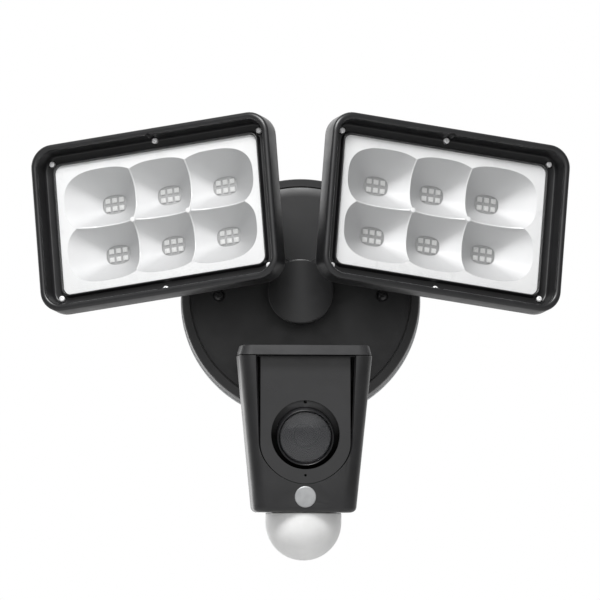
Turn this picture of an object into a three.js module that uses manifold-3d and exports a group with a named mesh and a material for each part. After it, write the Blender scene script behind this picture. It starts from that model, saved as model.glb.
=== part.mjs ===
// Floodlight security camera, built as an assembly of separate solids.
// Millimetres, +Z up. The wall is the plane y = 0, and the product faces -Y.

import * as THREE from "three";
import { mergeVertices } from "three/addons/utils/BufferGeometryUtils.js";
import Module from "manifold-3d";

const wasm = await Module();
wasm.setup();

const { Vector2, Vector3, Matrix4 } = THREE;
const RAD = Math.PI / 180;

// ---------- driving dimensions ----------

const GAP = 0.3;              // clearance between pieces that touch

const CANOPY_R = 65;
const CANOPY_FRONT = -25;     // y of the canopy face near its rim
const CANOPY_WALL = 2.6;
const CANOPY_RISE = 1;        // the face stands this much prouder at its middle
const GASKET_DEPTH = 3;
const BOX_SCREW_X = 44.45;    // half the screw spacing of a round junction box
const HUB_R = 17.9;
const POST_R = 15.8;          // the post under the hub's cover
const HUB_FRONT = -43;
const CAP_FRONT = -46;
const LOBE_R = 9;             // the cover's lobes over the two sockets
const LOBE_Y = -38.1;
const LOBE_END = 25;

const SWIVEL_CENTRE = new Vector3(0, -35, 4);
const SWIVEL_DIRECTION = new Vector3(-0.805, 0, 0.593).normalize();   // left arm
const SOCKET_R = 8;
const JOURNAL_R = 6;
const ARM_R = 5.8;
const SOCKET_END = 27;        // distance from the swivel centre to the socket mouth
const COLLAR_LENGTH = 6;

const LAMP_CENTRE = new Vector3(-76.9, -78, 38.4);   // middle of the left lamp's window
const LAMP_YAW = -21.5;
const LAMP_PITCH = -4;
const LAMP_ROLL = -6.2;
const LAMP_W = 139.2;
const LAMP_H = 93;
const LAMP_CORNER = 12;
const LIP = 8.4;              // the bezel's lip stands this far in front of the window
const SKIRT = 4;              // and its side wall goes this far behind it
const FRAME = 10.2;           // width of the bezel seen from the front
const CHANNEL = 2.6;          // depth of the screw channel behind the window plane
const FRAME_SCREW_R = 1.6;
const FRAME_SCREW_HEAD = 2.4;
const FRAME_SCREW_WELL = 0.9; // the heads sit in wells this far below the channel
const FRAME_SCREW_LENGTH = 7.2;
const THREAD_END = 11.5;      // depth of the screws' threaded holes behind the window plane
const BEZEL_BACK = 6.6;
const HOUSING_BACK = 29;
const REFLECTOR_FRONT = 2.1;
const REFLECTOR_DEPTH = 17.4;
const CELL_HALF_X = 22.9;     // half width and height of one reflector bowl at its mouth
const CELL_HALF_Z = 17.2;
const CELL_SQUARENESS = 2.7;  // exponent of the bowl's superellipse outline
const CELL_DEEPEST = 22;      // the bowl's depth at its middle, were it not cut flat
const CELL_FLARE = 1.25;      // exponent of the bowl's profile: 1 is a cone, 2 a paraboloid
// Distances from the bowl's middle, as shares of its half width.
const CELL_LEVELS = [1.04, 0.75, 0.5, 0.27];
const LED_X = 32.5;           // spacing of the LED clusters, and so of the bowls
const LED_Z = 28.2;
const LED_CLUSTER_W = 10.7;
const LED_CLUSTER_H = 7.3;
const LED_CLUSTER_RISE = 0.7;
const WINDOW_CORNER = 4.2;
const TRAY_TAPER = 4;
const BOARD_INSET = 6;
const BOARD_THICKNESS = 1.6;
const KNUCKLE_Y = 42;         // knuckle axis behind the window plane
const KNUCKLE_Z = -4;
const EYE_R = 9;
const EYE_HALF = 7;

const BRACKET_R = 15;
const BRACKET_Z = -44;        // height of the fork that holds the camera arm
const PAN_Y = -38;            // vertical axis at the canopy's camera bracket
const NECK_R = 5.2;
const TILT_Y = -58;           // horizontal axis at the camera's back
const TILT_Z = -60;
const CAMERA_YAW = 2.6;
const CAMERA_PITCH = 6;
const CAMERA_TOP_W = 72.4;
const CAMERA_BOTTOM_W = 55.6;
const CAMERA_TOP = 28.5;      // heights and depths below are measured from the tilt axis
const CAMERA_BOTTOM = -62.1;
const CAMERA_FRONT = -44;
const CAMERA_SEAM = -14;      // the front and rear shells meet here
const CAMERA_BACK = 4;
const CAP_H = 5.4;
const SHELL = 2.4;
const POCKET_FRONT = -10;     // the pocket in the camera's back that takes the arm's knuckle
const NOTCH_W = 15.4;
const FACE_TOP_W = 55.2;      // the sunk face panel round the lens
const FACE_BOTTOM = -47;
const FACE_DEPTH = 7.5;       // how far the panel is sunk at its top
const FACE_DRAFT = 0.36;      // how far the recess narrows for each millimetre of depth, on each side
const LENS_Z = -21.4;
const LENS_R = 14.1;
const LENS_DROP = 9;          // the barrel looks down by this angle from the body
const BARREL_R = 15.5;
const WELL_R = 18.7;
const CUP_DEPTH = 5.6;        // the cup round the lens, behind the face panel
const CUP_FLOOR = 1.2;
const BADGE_Z = -53.8;
const BADGE_R = 5.8;
const DOME_R = 20.6;
const DOME_NECK = 5.5;
const DOME_Y = -21;
const BUTTON_Z = -44;
const BUTTON_R = 2.6;

// ---------- materials ----------

const material = (colour, roughness, metalness = 0) =>
  new THREE.MeshStandardMaterial({ color: colour, roughness, metalness });

const black = material(0x262627, 0.42);
const darkPlastic = material(0x1c1c1d, 0.5);
const rubber = material(0x8d8f90, 0.9);
const steel = material(0xb9bcbf, 0.35, 1);
const zinc = material(0xa9adb0, 0.4, 1);
const reflectorWhite = material(0xd9dadb, 0.3);
const boardGreen = material(0x2f5d40, 0.6);
const boardWhite = material(0xe8e8e4, 0.6);
const clear = material(0xf2f5f6, 0.1);
const lensGlass = material(0x1c1f24, 0.08);
const frosted = material(0xeceded, 0.45);
const badgeGrey = material(0xa2a3a4, 0.45, 0.5);

// ---------- solids ----------

function solid(geometry) {
  const bare = geometry.clone();
  bare.deleteAttribute("normal");
  bare.deleteAttribute("uv");
  const merged = mergeVertices(bare, 1e-4);
  return new wasm.Manifold(new wasm.Mesh({
    numProp: 3,
    vertProperties: new Float32Array(merged.attributes.position.array),
    triVerts: new Uint32Array(merged.index.array),
  }));
}

function geometryOf(manifold) {
  const result = manifold.getMesh();
  const geometry = new THREE.BufferGeometry();
  geometry.setAttribute("position", new THREE.BufferAttribute(result.vertProperties, 3));
  geometry.setIndex(new THREE.BufferAttribute(result.triVerts, 1));
  return geometry;
}

function piece(name, manifold, look) {
  const geometry = geometryOf(manifold);
  geometry.computeVertexNormals();
  const mesh = new THREE.Mesh(geometry, look);
  mesh.name = name;
  return mesh;
}

// The outline of a rounded rectangle in X and Z, counter-clockwise seen from the front.
function roundedRectangle(width, height, radius, steps = 3) {
  const r = Math.max(radius, 0.2);
  const points = [];
  const corners = [[1, 1], [-1, 1], [-1, -1], [1, -1]];
  corners.forEach(([sx, sz], quarter) => {
    for (let i = 0; i <= steps; i += 1) {
      const angle = (quarter + i / steps) * Math.PI / 2;
      points.push(new Vector2(
        sx * (width / 2 - r) + r * Math.cos(angle),
        sz * (height / 2 - r) + r * Math.sin(angle)));
    }
  });
  return points;
}

const ring = (outline, y) => outline.map((p) => new Vector3(p.x, y, p.y));

// A skin through rings of equal point count. With closed = true it is a frame
// whose last ring joins its first; otherwise each end has a flat cap.
function loft(rings, closed = false) {
  const count = rings[0].length;
  const positions = rings.flat().flatMap((p) => [p.x, p.y, p.z]);
  const faces = [];
  const spans = closed ? rings.length : rings.length - 1;
  for (let k = 0; k < spans; k += 1) {
    const a = k * count;
    const b = ((k + 1) % rings.length) * count;
    for (let i = 0; i < count; i += 1) {
      const j = (i + 1) % count;
      faces.push(a + i, b + i, b + j, a + i, b + j, a + j);
    }
  }
  if (!closed) {
    const cap = THREE.ShapeUtils.triangulateShape(rings[0].map((p) => new Vector2(p.x, p.z)), []);
    const last = (rings.length - 1) * count;
    const end = THREE.ShapeUtils.triangulateShape(
      rings[rings.length - 1].map((p) => new Vector2(p.x, p.z)), []);
    cap.forEach(([i, j, k]) => faces.push(i, j, k));
    end.forEach(([i, j, k]) => faces.push(last + i, last + k, last + j));
  }
  const geometry = new THREE.BufferGeometry();
  geometry.setAttribute("position", new THREE.Float32BufferAttribute(positions, 3));
  geometry.setIndex(faces);
  return outward(geometry);
}

// Rings given from back to front or front to back both end up facing outwards.
function outward(geometry) {
  const p = geometry.attributes.position;
  const index = geometry.index.array;
  const [a, b, c] = [new Vector3(), new Vector3(), new Vector3()];
  let volume = 0;
  for (let i = 0; i < index.length; i += 3) {
    a.fromBufferAttribute(p, index[i]);
    b.fromBufferAttribute(p, index[i + 1]);
    c.fromBufferAttribute(p, index[i + 2]);
    volume += a.dot(b.cross(c));
  }
  if (volume < 0) {
    for (let i = 0; i < index.length; i += 3) {
      [index[i], index[i + 1]] = [index[i + 1], index[i]];
    }
  }
  return solid(geometry);
}

// A rounded block between two depths.
const slab = (width, height, radius, yFront, yBack) =>
  loft([ring(roundedRectangle(width, height, radius), yFront),
    ring(roundedRectangle(width, height, radius), yBack)]);

// A plain block by its middle and its size.
function block(x, y, z, w, d, h) {
  return solid(new THREE.BoxGeometry(w, d, h).translate(x, y, z));
}

// A turned solid about Y from (radius, y) points, the profile closed on itself or on the axis.
function turned(profile, segments = 32) {
  const geometry = new THREE.LatheGeometry(profile.map(([r, y]) => new Vector2(r, y)), segments);
  return outward(mergedOf(geometry));
}

function mergedOf(geometry) {
  const bare = geometry.clone();
  bare.deleteAttribute("normal");
  bare.deleteAttribute("uv");
  return dropSlivers(mergeVertices(bare, 1e-4));
}

function dropSlivers(geometry) {
  const index = Array.from(geometry.index.array);
  const kept = [];
  for (let i = 0; i < index.length; i += 3) {
    const [a, b, c] = index.slice(i, i + 3);
    if (a !== b && b !== c && a !== c) kept.push(a, b, c);
  }
  geometry.setIndex(kept);
  return geometry;
}

const drum = (radius, yFront, yBack, segments = 20) =>
  turned([[0, yFront], [radius, yFront], [radius, yBack], [0, yBack]], segments);

const tubeRing = (outer, inner, yFront, yBack, segments = 24) =>
  turned([[inner, yFront], [outer, yFront], [outer, yBack], [inner, yBack], [inner, yFront]],
    segments);

// Turn a solid made about Y so that its +Y points along a direction, then move it.
function aim(manifold, direction, origin = new Vector3()) {
  const turn = new THREE.Quaternion()
    .setFromUnitVectors(new Vector3(0, 1, 0), direction.clone().normalize());
  const matrix = new Matrix4().compose(origin, turn, new Vector3(1, 1, 1));
  return manifold.transform(matrix.elements.slice());
}

const shift = (manifold, x, y, z) => manifold.translate([x, y, z]);

function joined(manifolds) {
  return manifolds.reduce((sum, next) => sum.add(next));
}

const UP = new Vector3(0, 0, 1);
const SIDE = new Vector3(1, 0, 0);

// A screw along Y: its head faces the front and its shank goes back.
function screw(headR, headH, shankR, length, segments = 8) {
  return turned([[0, 0], [headR, 0], [headR, headH], [shankR, headH], [shankR, headH + length],
    [0, headH + length]], segments);
}

// ---------- wall mount ----------

function crossbar() {
  const [length, width, thickness] = [112, 18, 2];
  const strap = slab(length, width, 8, -1 - thickness, -1);
  const centreHole = drum(5, -5, 1, 14);
  const slots = [-1, 1].map((s) => slab(9, 4.6, 2.2, -5, 1).translate([s * 34, 0, 0]));
  const threads = [-1, 1].map((s) => drum(2.3, -5, 1, 8).translate([s * BOX_SCREW_X, 0, 0]));
  return strap.subtract(joined([centreHole, ...slots, ...threads]));
}

const wallGasket = () => tubeRing(CANOPY_R + 0.5, CANOPY_R - 5.5, -GASKET_DEPTH, 0, 40);

function canopy() {
  const back = -GASKET_DEPTH - GAP;
  const bevel = 4.4;
  const face = CANOPY_R - bevel;
  const rise = CANOPY_RISE;
  const inside = CANOPY_FRONT + CANOPY_WALL;
  const shell = turned([
    [14, CANOPY_FRONT - rise], [face - 1.2, CANOPY_FRONT], [face - 0.6, CANOPY_FRONT + 0.8],
    [face, CANOPY_FRONT], [CANOPY_R, CANOPY_FRONT + 3.6],
    [CANOPY_R, back], [CANOPY_R - CANOPY_WALL, back], [CANOPY_R - CANOPY_WALL, inside + 2],
    [14, inside - rise], [14, CANOPY_FRONT - rise]], 36);
  const holes = [-1, 1].map((s) => drum(2.6, -30, 0, 10).translate([s * BOX_SCREW_X, 0, 0.4]));
  const wells = [-1, 1].map((s) =>
    drum(3.6, -30, CANOPY_FRONT + 1.1, 14).translate([s * BOX_SCREW_X, 0, 0.4]));
  const seat = drum(BRACKET_R + GAP, -30, CANOPY_FRONT, 28).translate([0, 0, BRACKET_Z]);
  return shell.subtract(joined([...holes, ...wells, seat]));
}

// The swivel line of one lamp arm. side is -1 on the left and 1 on the right.
const swivelDirection = (side) =>
  new Vector3(-side * SWIVEL_DIRECTION.x, SWIVEL_DIRECTION.y, SWIVEL_DIRECTION.z);
const alongSwivel = (side, distance) =>
  SWIVEL_CENTRE.clone().addScaledVector(swivelDirection(side), distance);

function hub() {
  const back = CANOPY_FRONT - CANOPY_RISE - GAP;
  const post = drum(POST_R, HUB_FRONT, back, 32);
  const sockets = [-1, 1].map((side) =>
    aim(drum(SOCKET_R, 0, SOCKET_END), swivelDirection(side), SWIVEL_CENTRE));
  const bores = [-1, 1].map((side) =>
    aim(drum(JOURNAL_R + GAP, 8, SOCKET_END + 5), swivelDirection(side), SWIVEL_CENTRE));
  const hollow = drum(12.5, HUB_FRONT + 3, back + 5, 20);
  const behind = block(0, back + 50, 0, 200, 100, 200);
  return joined([post, ...sockets]).subtract(joined([hollow, behind, ...bores]));
}

// The cover on the hub. Two lobes on it follow the sockets outwards.
function hubCap() {
  const base = HUB_FRONT - GAP;
  const disc = turned([[0, CAP_FRONT - 1.2], [7, CAP_FRONT - 0.9], [13, CAP_FRONT - 0.1],
    [HUB_R - 1, CAP_FRONT + 1], [HUB_R, CAP_FRONT + 1.8], [HUB_R, base], [0, base]], 32);
  const lobes = [-1, 1].map((side) => {
    const middle = new Vector3(SWIVEL_CENTRE.x, LOBE_Y, SWIVEL_CENTRE.z);
    const lobe = turned([[0, 0], [LOBE_R, 0], [LOBE_R, LOBE_END - 1.5], [LOBE_R - 1.5, LOBE_END],
      [0, LOBE_END]], 28);
    return aim(lobe, swivelDirection(side), middle);
  });
  return joined([disc, ...lobes]).subtract(block(0, base + 50, 0, 200, 100, 200));
}

const collar = (side) => {
  const nut = tubeRing(SOCKET_R + 0.8, JOURNAL_R + GAP, 0, COLLAR_LENGTH, 20);
  return aim(nut, swivelDirection(side), alongSwivel(side, SOCKET_END + GAP));
};

const canopyScrew = (side) =>
  screw(2.9, 2, 2, 21).translate([side * BOX_SCREW_X, CANOPY_FRONT - 1.2, 0.4]);

function driverBoard() {
  const board = slab(88, 42, 3, -13, -11.4).translate([0, 0, 24]);
  const parts = [
    block(-28, -15, 26, 16, 4.4, 20), block(-4, -15.5, 28, 14, 5.4, 14),
    block(22, -14.6, 27, 20, 3.6, 18)];
  const clearance = drum(13.5, -20, 0, 24);
  return joined([board, ...parts]).subtract(clearance);
}

function terminalBlock() {
  const body = block(0, -10.5, -30, 34, 12, 14);
  const wireHoles = [-1, 0, 1].map((i) => block(i * 10, -10.5, -36, 5, 6, 8));
  const screwWells = [-1, 0, 1].map((i) => drum(2.4, -20, -13, 8).translate([i * 10, 0, -29]));
  return body.subtract(joined([...wireHoles, ...screwWells]));
}

// The fork on the canopy that holds the camera arm's upright pin.
function cameraBracket() {
  const back = CANOPY_FRONT - GAP;
  const plate = drum(BRACKET_R, back - 3.4, back, 28).translate([0, 0, BRACKET_Z]);
  const ears = [-1, 1].map((s) => {
    const ear = drum(7.5, -1.9, 1.9, 16);
    const round = aim(ear, UP, new Vector3(0, PAN_Y, BRACKET_Z + s * 8.2));
    return round.add(block(0, (PAN_Y + back - 1) / 2, BRACKET_Z + s * 8.2, 15, back - 1 - PAN_Y, 3.8));
  });
  const pinHole = aim(drum(2.3, -14, 14, 10), UP, new Vector3(0, PAN_Y, BRACKET_Z));
  return joined([plate, ...ears]).subtract(pinHole);
}

// ---------- camera arm ----------

function cameraArm() {
  const eye = aim(drum(7.5, -5.9, 5.9, 18), UP, new Vector3(0, PAN_Y, BRACKET_Z));
  const path = new THREE.CatmullRomCurve3([
    new Vector3(0, PAN_Y - 2, BRACKET_Z), new Vector3(0, PAN_Y - 8.5, BRACKET_Z - 0.6),
    new Vector3(0, TILT_Y + 5.5, TILT_Z + 8), new Vector3(0, TILT_Y + 1.5, TILT_Z + 1.5)]);
  const section = new THREE.Shape();
  section.absarc(0, 0, NECK_R, 0, Math.PI * 2);
  const neck = solid(mergedOf(new THREE.ExtrudeGeometry(section,
    { steps: 8, extrudePath: path, bevelEnabled: false, curveSegments: 5 })));
  const knuckle = aim(drum(7.4, -6, 6, 18), SIDE, new Vector3(0, TILT_Y, TILT_Z));
  const upright = aim(drum(2.3, -14, 14, 10), UP, new Vector3(0, PAN_Y, BRACKET_Z));
  const cross = aim(drum(2.3, -14, 14, 10), SIDE, new Vector3(0, TILT_Y, TILT_Z));
  return joined([eye, neck, knuckle]).subtract(joined([upright, cross]));
}

const pin = (radius, headR, half) =>
  turned([[0, -half - 1.4], [headR, -half - 1.4], [headR, -half], [radius, -half], [radius, half],
    [0, half]], 12);

const panPin = () => aim(pin(2, 3.6, 10.4), UP.clone().negate(), new Vector3(0, PAN_Y, BRACKET_Z));

// ---------- lamps ----------
// A lamp is made facing -Y about the middle of its window, then placed in its group.

const screwPlaces = [[-60.7, 37.6], [0, 41.4], [60.7, 37.6], [-60.7, -37.6], [0, -41.4], [60.7, -37.6]];

// Rings of the lamp's outline, each drawn in from the outer edge by an inset.
const lampRing = (inset, y) =>
  ring(roundedRectangle(LAMP_W - 2 * inset, LAMP_H - 2 * inset, LAMP_CORNER - inset * 0.75), y);

function bezel() {
  const profile = [[0, SKIRT], [0, 1 - LIP], [1.2, -LIP], [2.8, -LIP], [3.6, 1 - LIP], [4, CHANNEL - 1.6],
    [5, CHANNEL], [8.8, CHANNEL], [9.4, 0], [FRAME, -0.2], [FRAME, BEZEL_BACK], [3.8, BEZEL_BACK],
    [3.8, SKIRT]];
  const frame = loft(profile.map(([inset, y]) => lampRing(inset, y)), true);
  const wells = screwPlaces.map(([x, z]) =>
    drum(2.3, -LIP - 1, CHANNEL + FRAME_SCREW_WELL, 8).translate([x, 0, z]));
  const holes = screwPlaces.map(([x, z]) => drum(1.3, 0, BEZEL_BACK + 1, 6).translate([x, 0, z]));
  return frame.subtract(joined([...wells, ...holes]));
}

const bezelScrew = (x, z) => screw(FRAME_SCREW_R, FRAME_SCREW_HEAD, 0.9, FRAME_SCREW_LENGTH, 10)
  .translate([x, CHANNEL + FRAME_SCREW_WELL - FRAME_SCREW_HEAD - 0.02, z]);

function seal() {
  const [front, back] = [BEZEL_BACK + GAP, BEZEL_BACK + 1.4];
  const flat = loft([lampRing(3.9, front), lampRing(3.9, back), lampRing(9.8, back),
    lampRing(9.8, front)], true);
  return flat.subtract(joined(screwPlaces.map(([x, z]) => drum(1.3, 0, 12, 6).translate([x, 0, z]))));
}

const WINDOW_W = LAMP_W - 2 * FRAME;
const WINDOW_H = LAMP_H - 2 * FRAME;

const lampGlass = () => slab(WINDOW_W - 2 * GAP, WINDOW_H - 2 * GAP, WINDOW_CORNER, 0.2, 1.8);

// Columns and rows of the six light cells, counted from the middle of the lamp.
const CELLS = [-1, 0, 1].flatMap((column) => [-0.5, 0.5].map((row) => [column, row]));

// The hollow of one cell, a bowl centred on its LEDs. The bowls run into each other.
function cellHollow([column, row]) {
  const steps = 20;
  const rings = CELL_LEVELS.map((share) => {
    const y = REFLECTOR_FRONT + CELL_DEEPEST * (1 - share ** CELL_FLARE);
    return Array.from({ length: steps }, (_, i) => {
      const angle = i / steps * Math.PI * 2;
      const [c, d] = [Math.cos(angle), Math.sin(angle)];
      const stretch = Math.abs(c) ** CELL_SQUARENESS + Math.abs(d) ** CELL_SQUARENESS;
      const reach = share * stretch ** (-1 / CELL_SQUARENESS);
      return new Vector3(column * LED_X + CELL_HALF_X * c * reach, y,
        row * LED_Z + CELL_HALF_Z * d * reach);
    });
  });
  return loft(rings);
}

function reflector() {
  const front = ring(roundedRectangle(WINDOW_W - 2 * GAP, WINDOW_H - 2 * GAP, WINDOW_CORNER),
    REFLECTOR_FRONT);
  const back = ring(roundedRectangle(WINDOW_W - TRAY_TAPER, WINDOW_H - TRAY_TAPER, WINDOW_CORNER),
    REFLECTOR_FRONT + REFLECTOR_DEPTH - GAP);
  return loft([front, back]).subtract(joined(CELLS.map(cellHollow)));
}

function ledBoard() {
  const front = REFLECTOR_FRONT + REFLECTOR_DEPTH;
  const board = slab(WINDOW_W - BOARD_INSET, WINDOW_H - BOARD_INSET, 3, front, front + BOARD_THICKNESS);
  const clusters = CELLS.map(([column, row]) =>
    block(column * LED_X, front, row * LED_Z, LED_CLUSTER_W, LED_CLUSTER_RISE * 2, LED_CLUSTER_H));
  return joined([board, ...clusters]);
}

function housing() {
  const front = SKIRT + GAP;
  const outer = loft([lampRing(0, front), lampRing(0.9, front + 1.4), lampRing(9.5, HOUSING_BACK - 4),
    lampRing(13.5, HOUSING_BACK)]);
  const ledge = BEZEL_BACK + 1.4 + GAP;
  const inner = loft([lampRing(3.5, front - 1), lampRing(3.5, ledge), lampRing(5.6, ledge + 0.3),
    lampRing(8.5, 16), lampRing(12.4, HOUSING_BACK - 3)]);
  const bosses = screwPlaces.map(([x, z]) => drum(2.8, ledge, 18, 6).translate([x * 0.99, 0, z * 0.99]));
  const threads = screwPlaces.map(([x, z]) => drum(1.2, 0, THREAD_END, 6).translate([x, 0, z]));
  const fins = [];
  for (let i = -5; i <= 5; i += 1) {
    if (Math.abs(i) > 1) fins.push(block(i * 9, HOUSING_BACK + 1.5, 0, 2.2, 7, 54));
  }
  const ears = [-1, 1].map((s) => {
    const z = KNUCKLE_Z + s * (EYE_HALF + 2.9);
    const round = aim(drum(EYE_R, -2.5, 2.5, 16), UP, new Vector3(0, KNUCKLE_Y, z));
    const web = KNUCKLE_Y - HOUSING_BACK + 2;
    return round.add(block(0, KNUCKLE_Y - web / 2, z, EYE_R * 2, web, 5));
  });
  const pinHole = aim(drum(2.8, -18, 18, 10), UP, new Vector3(0, KNUCKLE_Y, KNUCKLE_Z));
  return outer.subtract(inner).add(joined([...bosses, ...fins, ...ears]))
    .subtract(joined([...threads, pinHole]));
}

function knuckleBolt() {
  const half = EYE_HALF + 5.4 + GAP;
  const shank = turned([[0, -half - 3], [5, -half - 3], [5, -half], [2.5, -half], [2.5, half],
    [0, half]], 12);
  const nut = new THREE.CylinderGeometry(4.6, 4.6, 4, 6).translate(0, half + 1.9, 0);
  return aim(shank.add(solid(mergedOf(nut))), UP, new Vector3(0, KNUCKLE_Y, KNUCKLE_Z));
}

// Places a lamp's pieces. The right lamp is the left one mirrored.
function lampMatrix() {
  const euler = new THREE.Euler(LAMP_PITCH * RAD, 0, 0);
  const yaw = new Matrix4().makeRotationZ(LAMP_YAW * RAD);
  const pitch = new Matrix4().makeRotationFromEuler(euler);
  const roll = new Matrix4().makeRotationY(LAMP_ROLL * RAD);
  const move = new Matrix4().makeTranslation(LAMP_CENTRE);
  return move.multiply(yaw).multiply(pitch).multiply(roll);
}

const KNUCKLE = new Vector3(0, KNUCKLE_Y, KNUCKLE_Z).applyMatrix4(lampMatrix());

// The left arm: a journal in the hub's socket, a bent tube and the knuckle's eye.
function leftArm() {
  const pinAxis = new Vector3(0, 0, 1).transformDirection(lampMatrix());
  const reach = KNUCKLE.clone().sub(SWIVEL_CENTRE).normalize();
  const approach = reach.addScaledVector(pinAxis, -reach.dot(pinAxis)).normalize();
  const start = alongSwivel(-1, SOCKET_END + COLLAR_LENGTH - 8);
  const path = new THREE.CubicBezierCurve3(start, alongSwivel(-1, SOCKET_END + COLLAR_LENGTH + 6),
    KNUCKLE.clone().addScaledVector(approach, -18), KNUCKLE.clone().addScaledVector(approach, -2));
  const section = new THREE.Shape();
  section.absarc(0, 0, ARM_R, 0, Math.PI * 2);
  const tube = solid(mergedOf(new THREE.ExtrudeGeometry(section,
    { steps: 8, extrudePath: path, bevelEnabled: false, curveSegments: 5 })));
  const journal = aim(drum(JOURNAL_R, 13, SOCKET_END + COLLAR_LENGTH + 1.5, 18),
    swivelDirection(-1), SWIVEL_CENTRE);
  const eye = aim(drum(EYE_R, -EYE_HALF, EYE_HALF, 18), pinAxis, KNUCKLE);
  const hole = aim(drum(2.8, -18, 18, 10), pinAxis, KNUCKLE);
  const wireway = aim(drum(3.2, 10, SOCKET_END + 2, 10), swivelDirection(-1), SWIVEL_CENTRE);
  return joined([journal, tube, eye]).subtract(joined([hole, wireway]));
}

// ---------- camera ----------
// Made upright about its tilt axis, facing -Y, then pitched and turned in its group.

const bodyWidth = (z) => THREE.MathUtils.mapLinear(z, CAMERA_TOP - CAP_H, CAMERA_BOTTOM,
  CAMERA_TOP_W, CAMERA_BOTTOM_W);

// A skin through level sections. Each level is [z, width, front, back, corner radius].
function levels(sections) {
  const rings = sections.map(([z, width, front, back, radius]) =>
    roundedRectangle(width, back - front, radius).map((p) => new Vector3(p.x, z, p.y - (front + back) / 2)));
  return loft(rings).rotate([90, 0, 0]);
}

function bodySections(inset, top, bottom) {
  const section = (z, extra = 0) => {
    const cut = inset + extra;
    return [z, bodyWidth(z) - 2 * cut, CAMERA_FRONT + cut, CAMERA_BACK - cut, Math.max(8.5 - cut, 2)];
  };
  return levels([section(top), section(bottom + 2.6), section(bottom + 0.8, 1.1), section(bottom, 2.4)]);
}

const BODY_TOP = CAMERA_TOP - CAP_H - GAP;

const faceFloor = (z) =>
  CAMERA_FRONT + THREE.MathUtils.mapLinear(z, BODY_TOP, FACE_BOTTOM, FACE_DEPTH, 0.4);

// The U-shaped outline of the sunk face, drawn in by an inset, counter-clockwise from the top right.
// With a draft it follows the foot of the recess, whose walls lean in with depth.
function faceOutline(inset, draft = 0) {
  const top = BODY_TOP + 8;
  const half = FACE_TOP_W / 2 - inset;
  const sideEnd = new Vector2(half - 2, -25);
  const low = FACE_BOTTOM + inset;
  const right = new THREE.CubicBezierCurve(sideEnd, new Vector2(half - 2.6, -36), new Vector2(half - 15, low),
    new Vector2(0, low)).getPoints(6);
  const left = right.slice(0, -1).reverse().map((p) => new Vector2(-p.x, p.y));
  const outline = [new Vector2(half, top), new Vector2(-half, top), ...[...right, ...left].reverse()];
  return outline.map((p) => new Vector2(p.x * (1 - draft * (faceFloor(p.y) - CAMERA_FRONT) / half), p.y));
}

const onFace = (outline, offset) => outline.map((p) => new Vector3(p.x, faceFloor(p.y) + offset, p.y));

const wholeBody = () => bodySections(0, BODY_TOP, CAMERA_BOTTOM);
const bodyHollow = () => bodySections(SHELL, BODY_TOP + 5, CAMERA_BOTTOM + SHELL);

const domeAxis = (manifold) => manifold.rotate([90, 0, 0]).translate([0, DOME_Y, CAMERA_BOTTOM]);

function frontShell() {
  const foot = faceOutline(0, FACE_DRAFT);
  const window = loft([onFace(foot, 4), onFace(foot, 0), ring(faceOutline(0), CAMERA_FRONT),
    ring(faceOutline(0), CAMERA_FRONT - 5)]);
  const half = block(0, CAMERA_SEAM - 50, -20, 120, 100, 160);
  const domeHole = domeAxis(drum(17.8, -8, 8, 20));
  const badgeWell = drum(BADGE_R + 0.15, CAMERA_FRONT - 2, CAMERA_FRONT + 0.6, 20).translate([0, 0, BADGE_Z]);
  return wholeBody().subtract(bodyHollow()).intersect(half).subtract(joined([window, domeHole, badgeWell]));
}

function rearShell() {
  const half = block(0, CAMERA_SEAM + GAP + 50, -20, 120, 100, 160);
  const domeHole = domeAxis(drum(17.8, -8, 8, 20));
  const pocket = block(0, POCKET_FRONT + 11, 4, 22, 22, 34);
  const notch = block(0, POCKET_FRONT + 13, 4, NOTCH_W, 24, 30);
  const bore = aim(drum(2.3, -16, 16, 10), SIDE);
  const heads = joined([-1, 1].map((s) => aim(drum(4, s * 15 - 4.8, s * 15 + 4.8, 12), SIDE)));
  const button = drum(BUTTON_R + GAP, -4, 8, 12).translate([0, 0, BUTTON_Z]);
  const clip = levels([[BODY_TOP - 0.02, 70, CAMERA_FRONT, CAMERA_BACK, 8],
    [CAMERA_BOTTOM, 70, CAMERA_FRONT, CAMERA_BACK, 8]]);
  return wholeBody().subtract(bodyHollow()).intersect(half).add(pocket.intersect(clip))
    .subtract(joined([notch, bore, heads, button, domeHole]));
}

function topCap() {
  const base = CAMERA_TOP - CAP_H;
  const depth = (front, back) => [CAMERA_FRONT + front, CAMERA_BACK - back];
  const [f0, b0] = depth(0.8, 1);
  const [f1, b1] = depth(6, 4);
  const outer = levels([[CAMERA_TOP, 66.5, f1, b1, 5], [CAMERA_TOP - 0.6, 69.3, f1 - 1, b1 + 0.8, 6],
    [base, 71.8, f0, b0, 8]]);
  const inner = levels([[CAMERA_TOP - 2.2, 62, f1 + 2, b1 - 2, 4], [base - 1, 66.5, f0 + 3, b0 - 3, 6]]);
  const notch = block(0, 12, 0, NOTCH_W, 16, 46);
  return outer.subtract(inner).subtract(notch);
}

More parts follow.
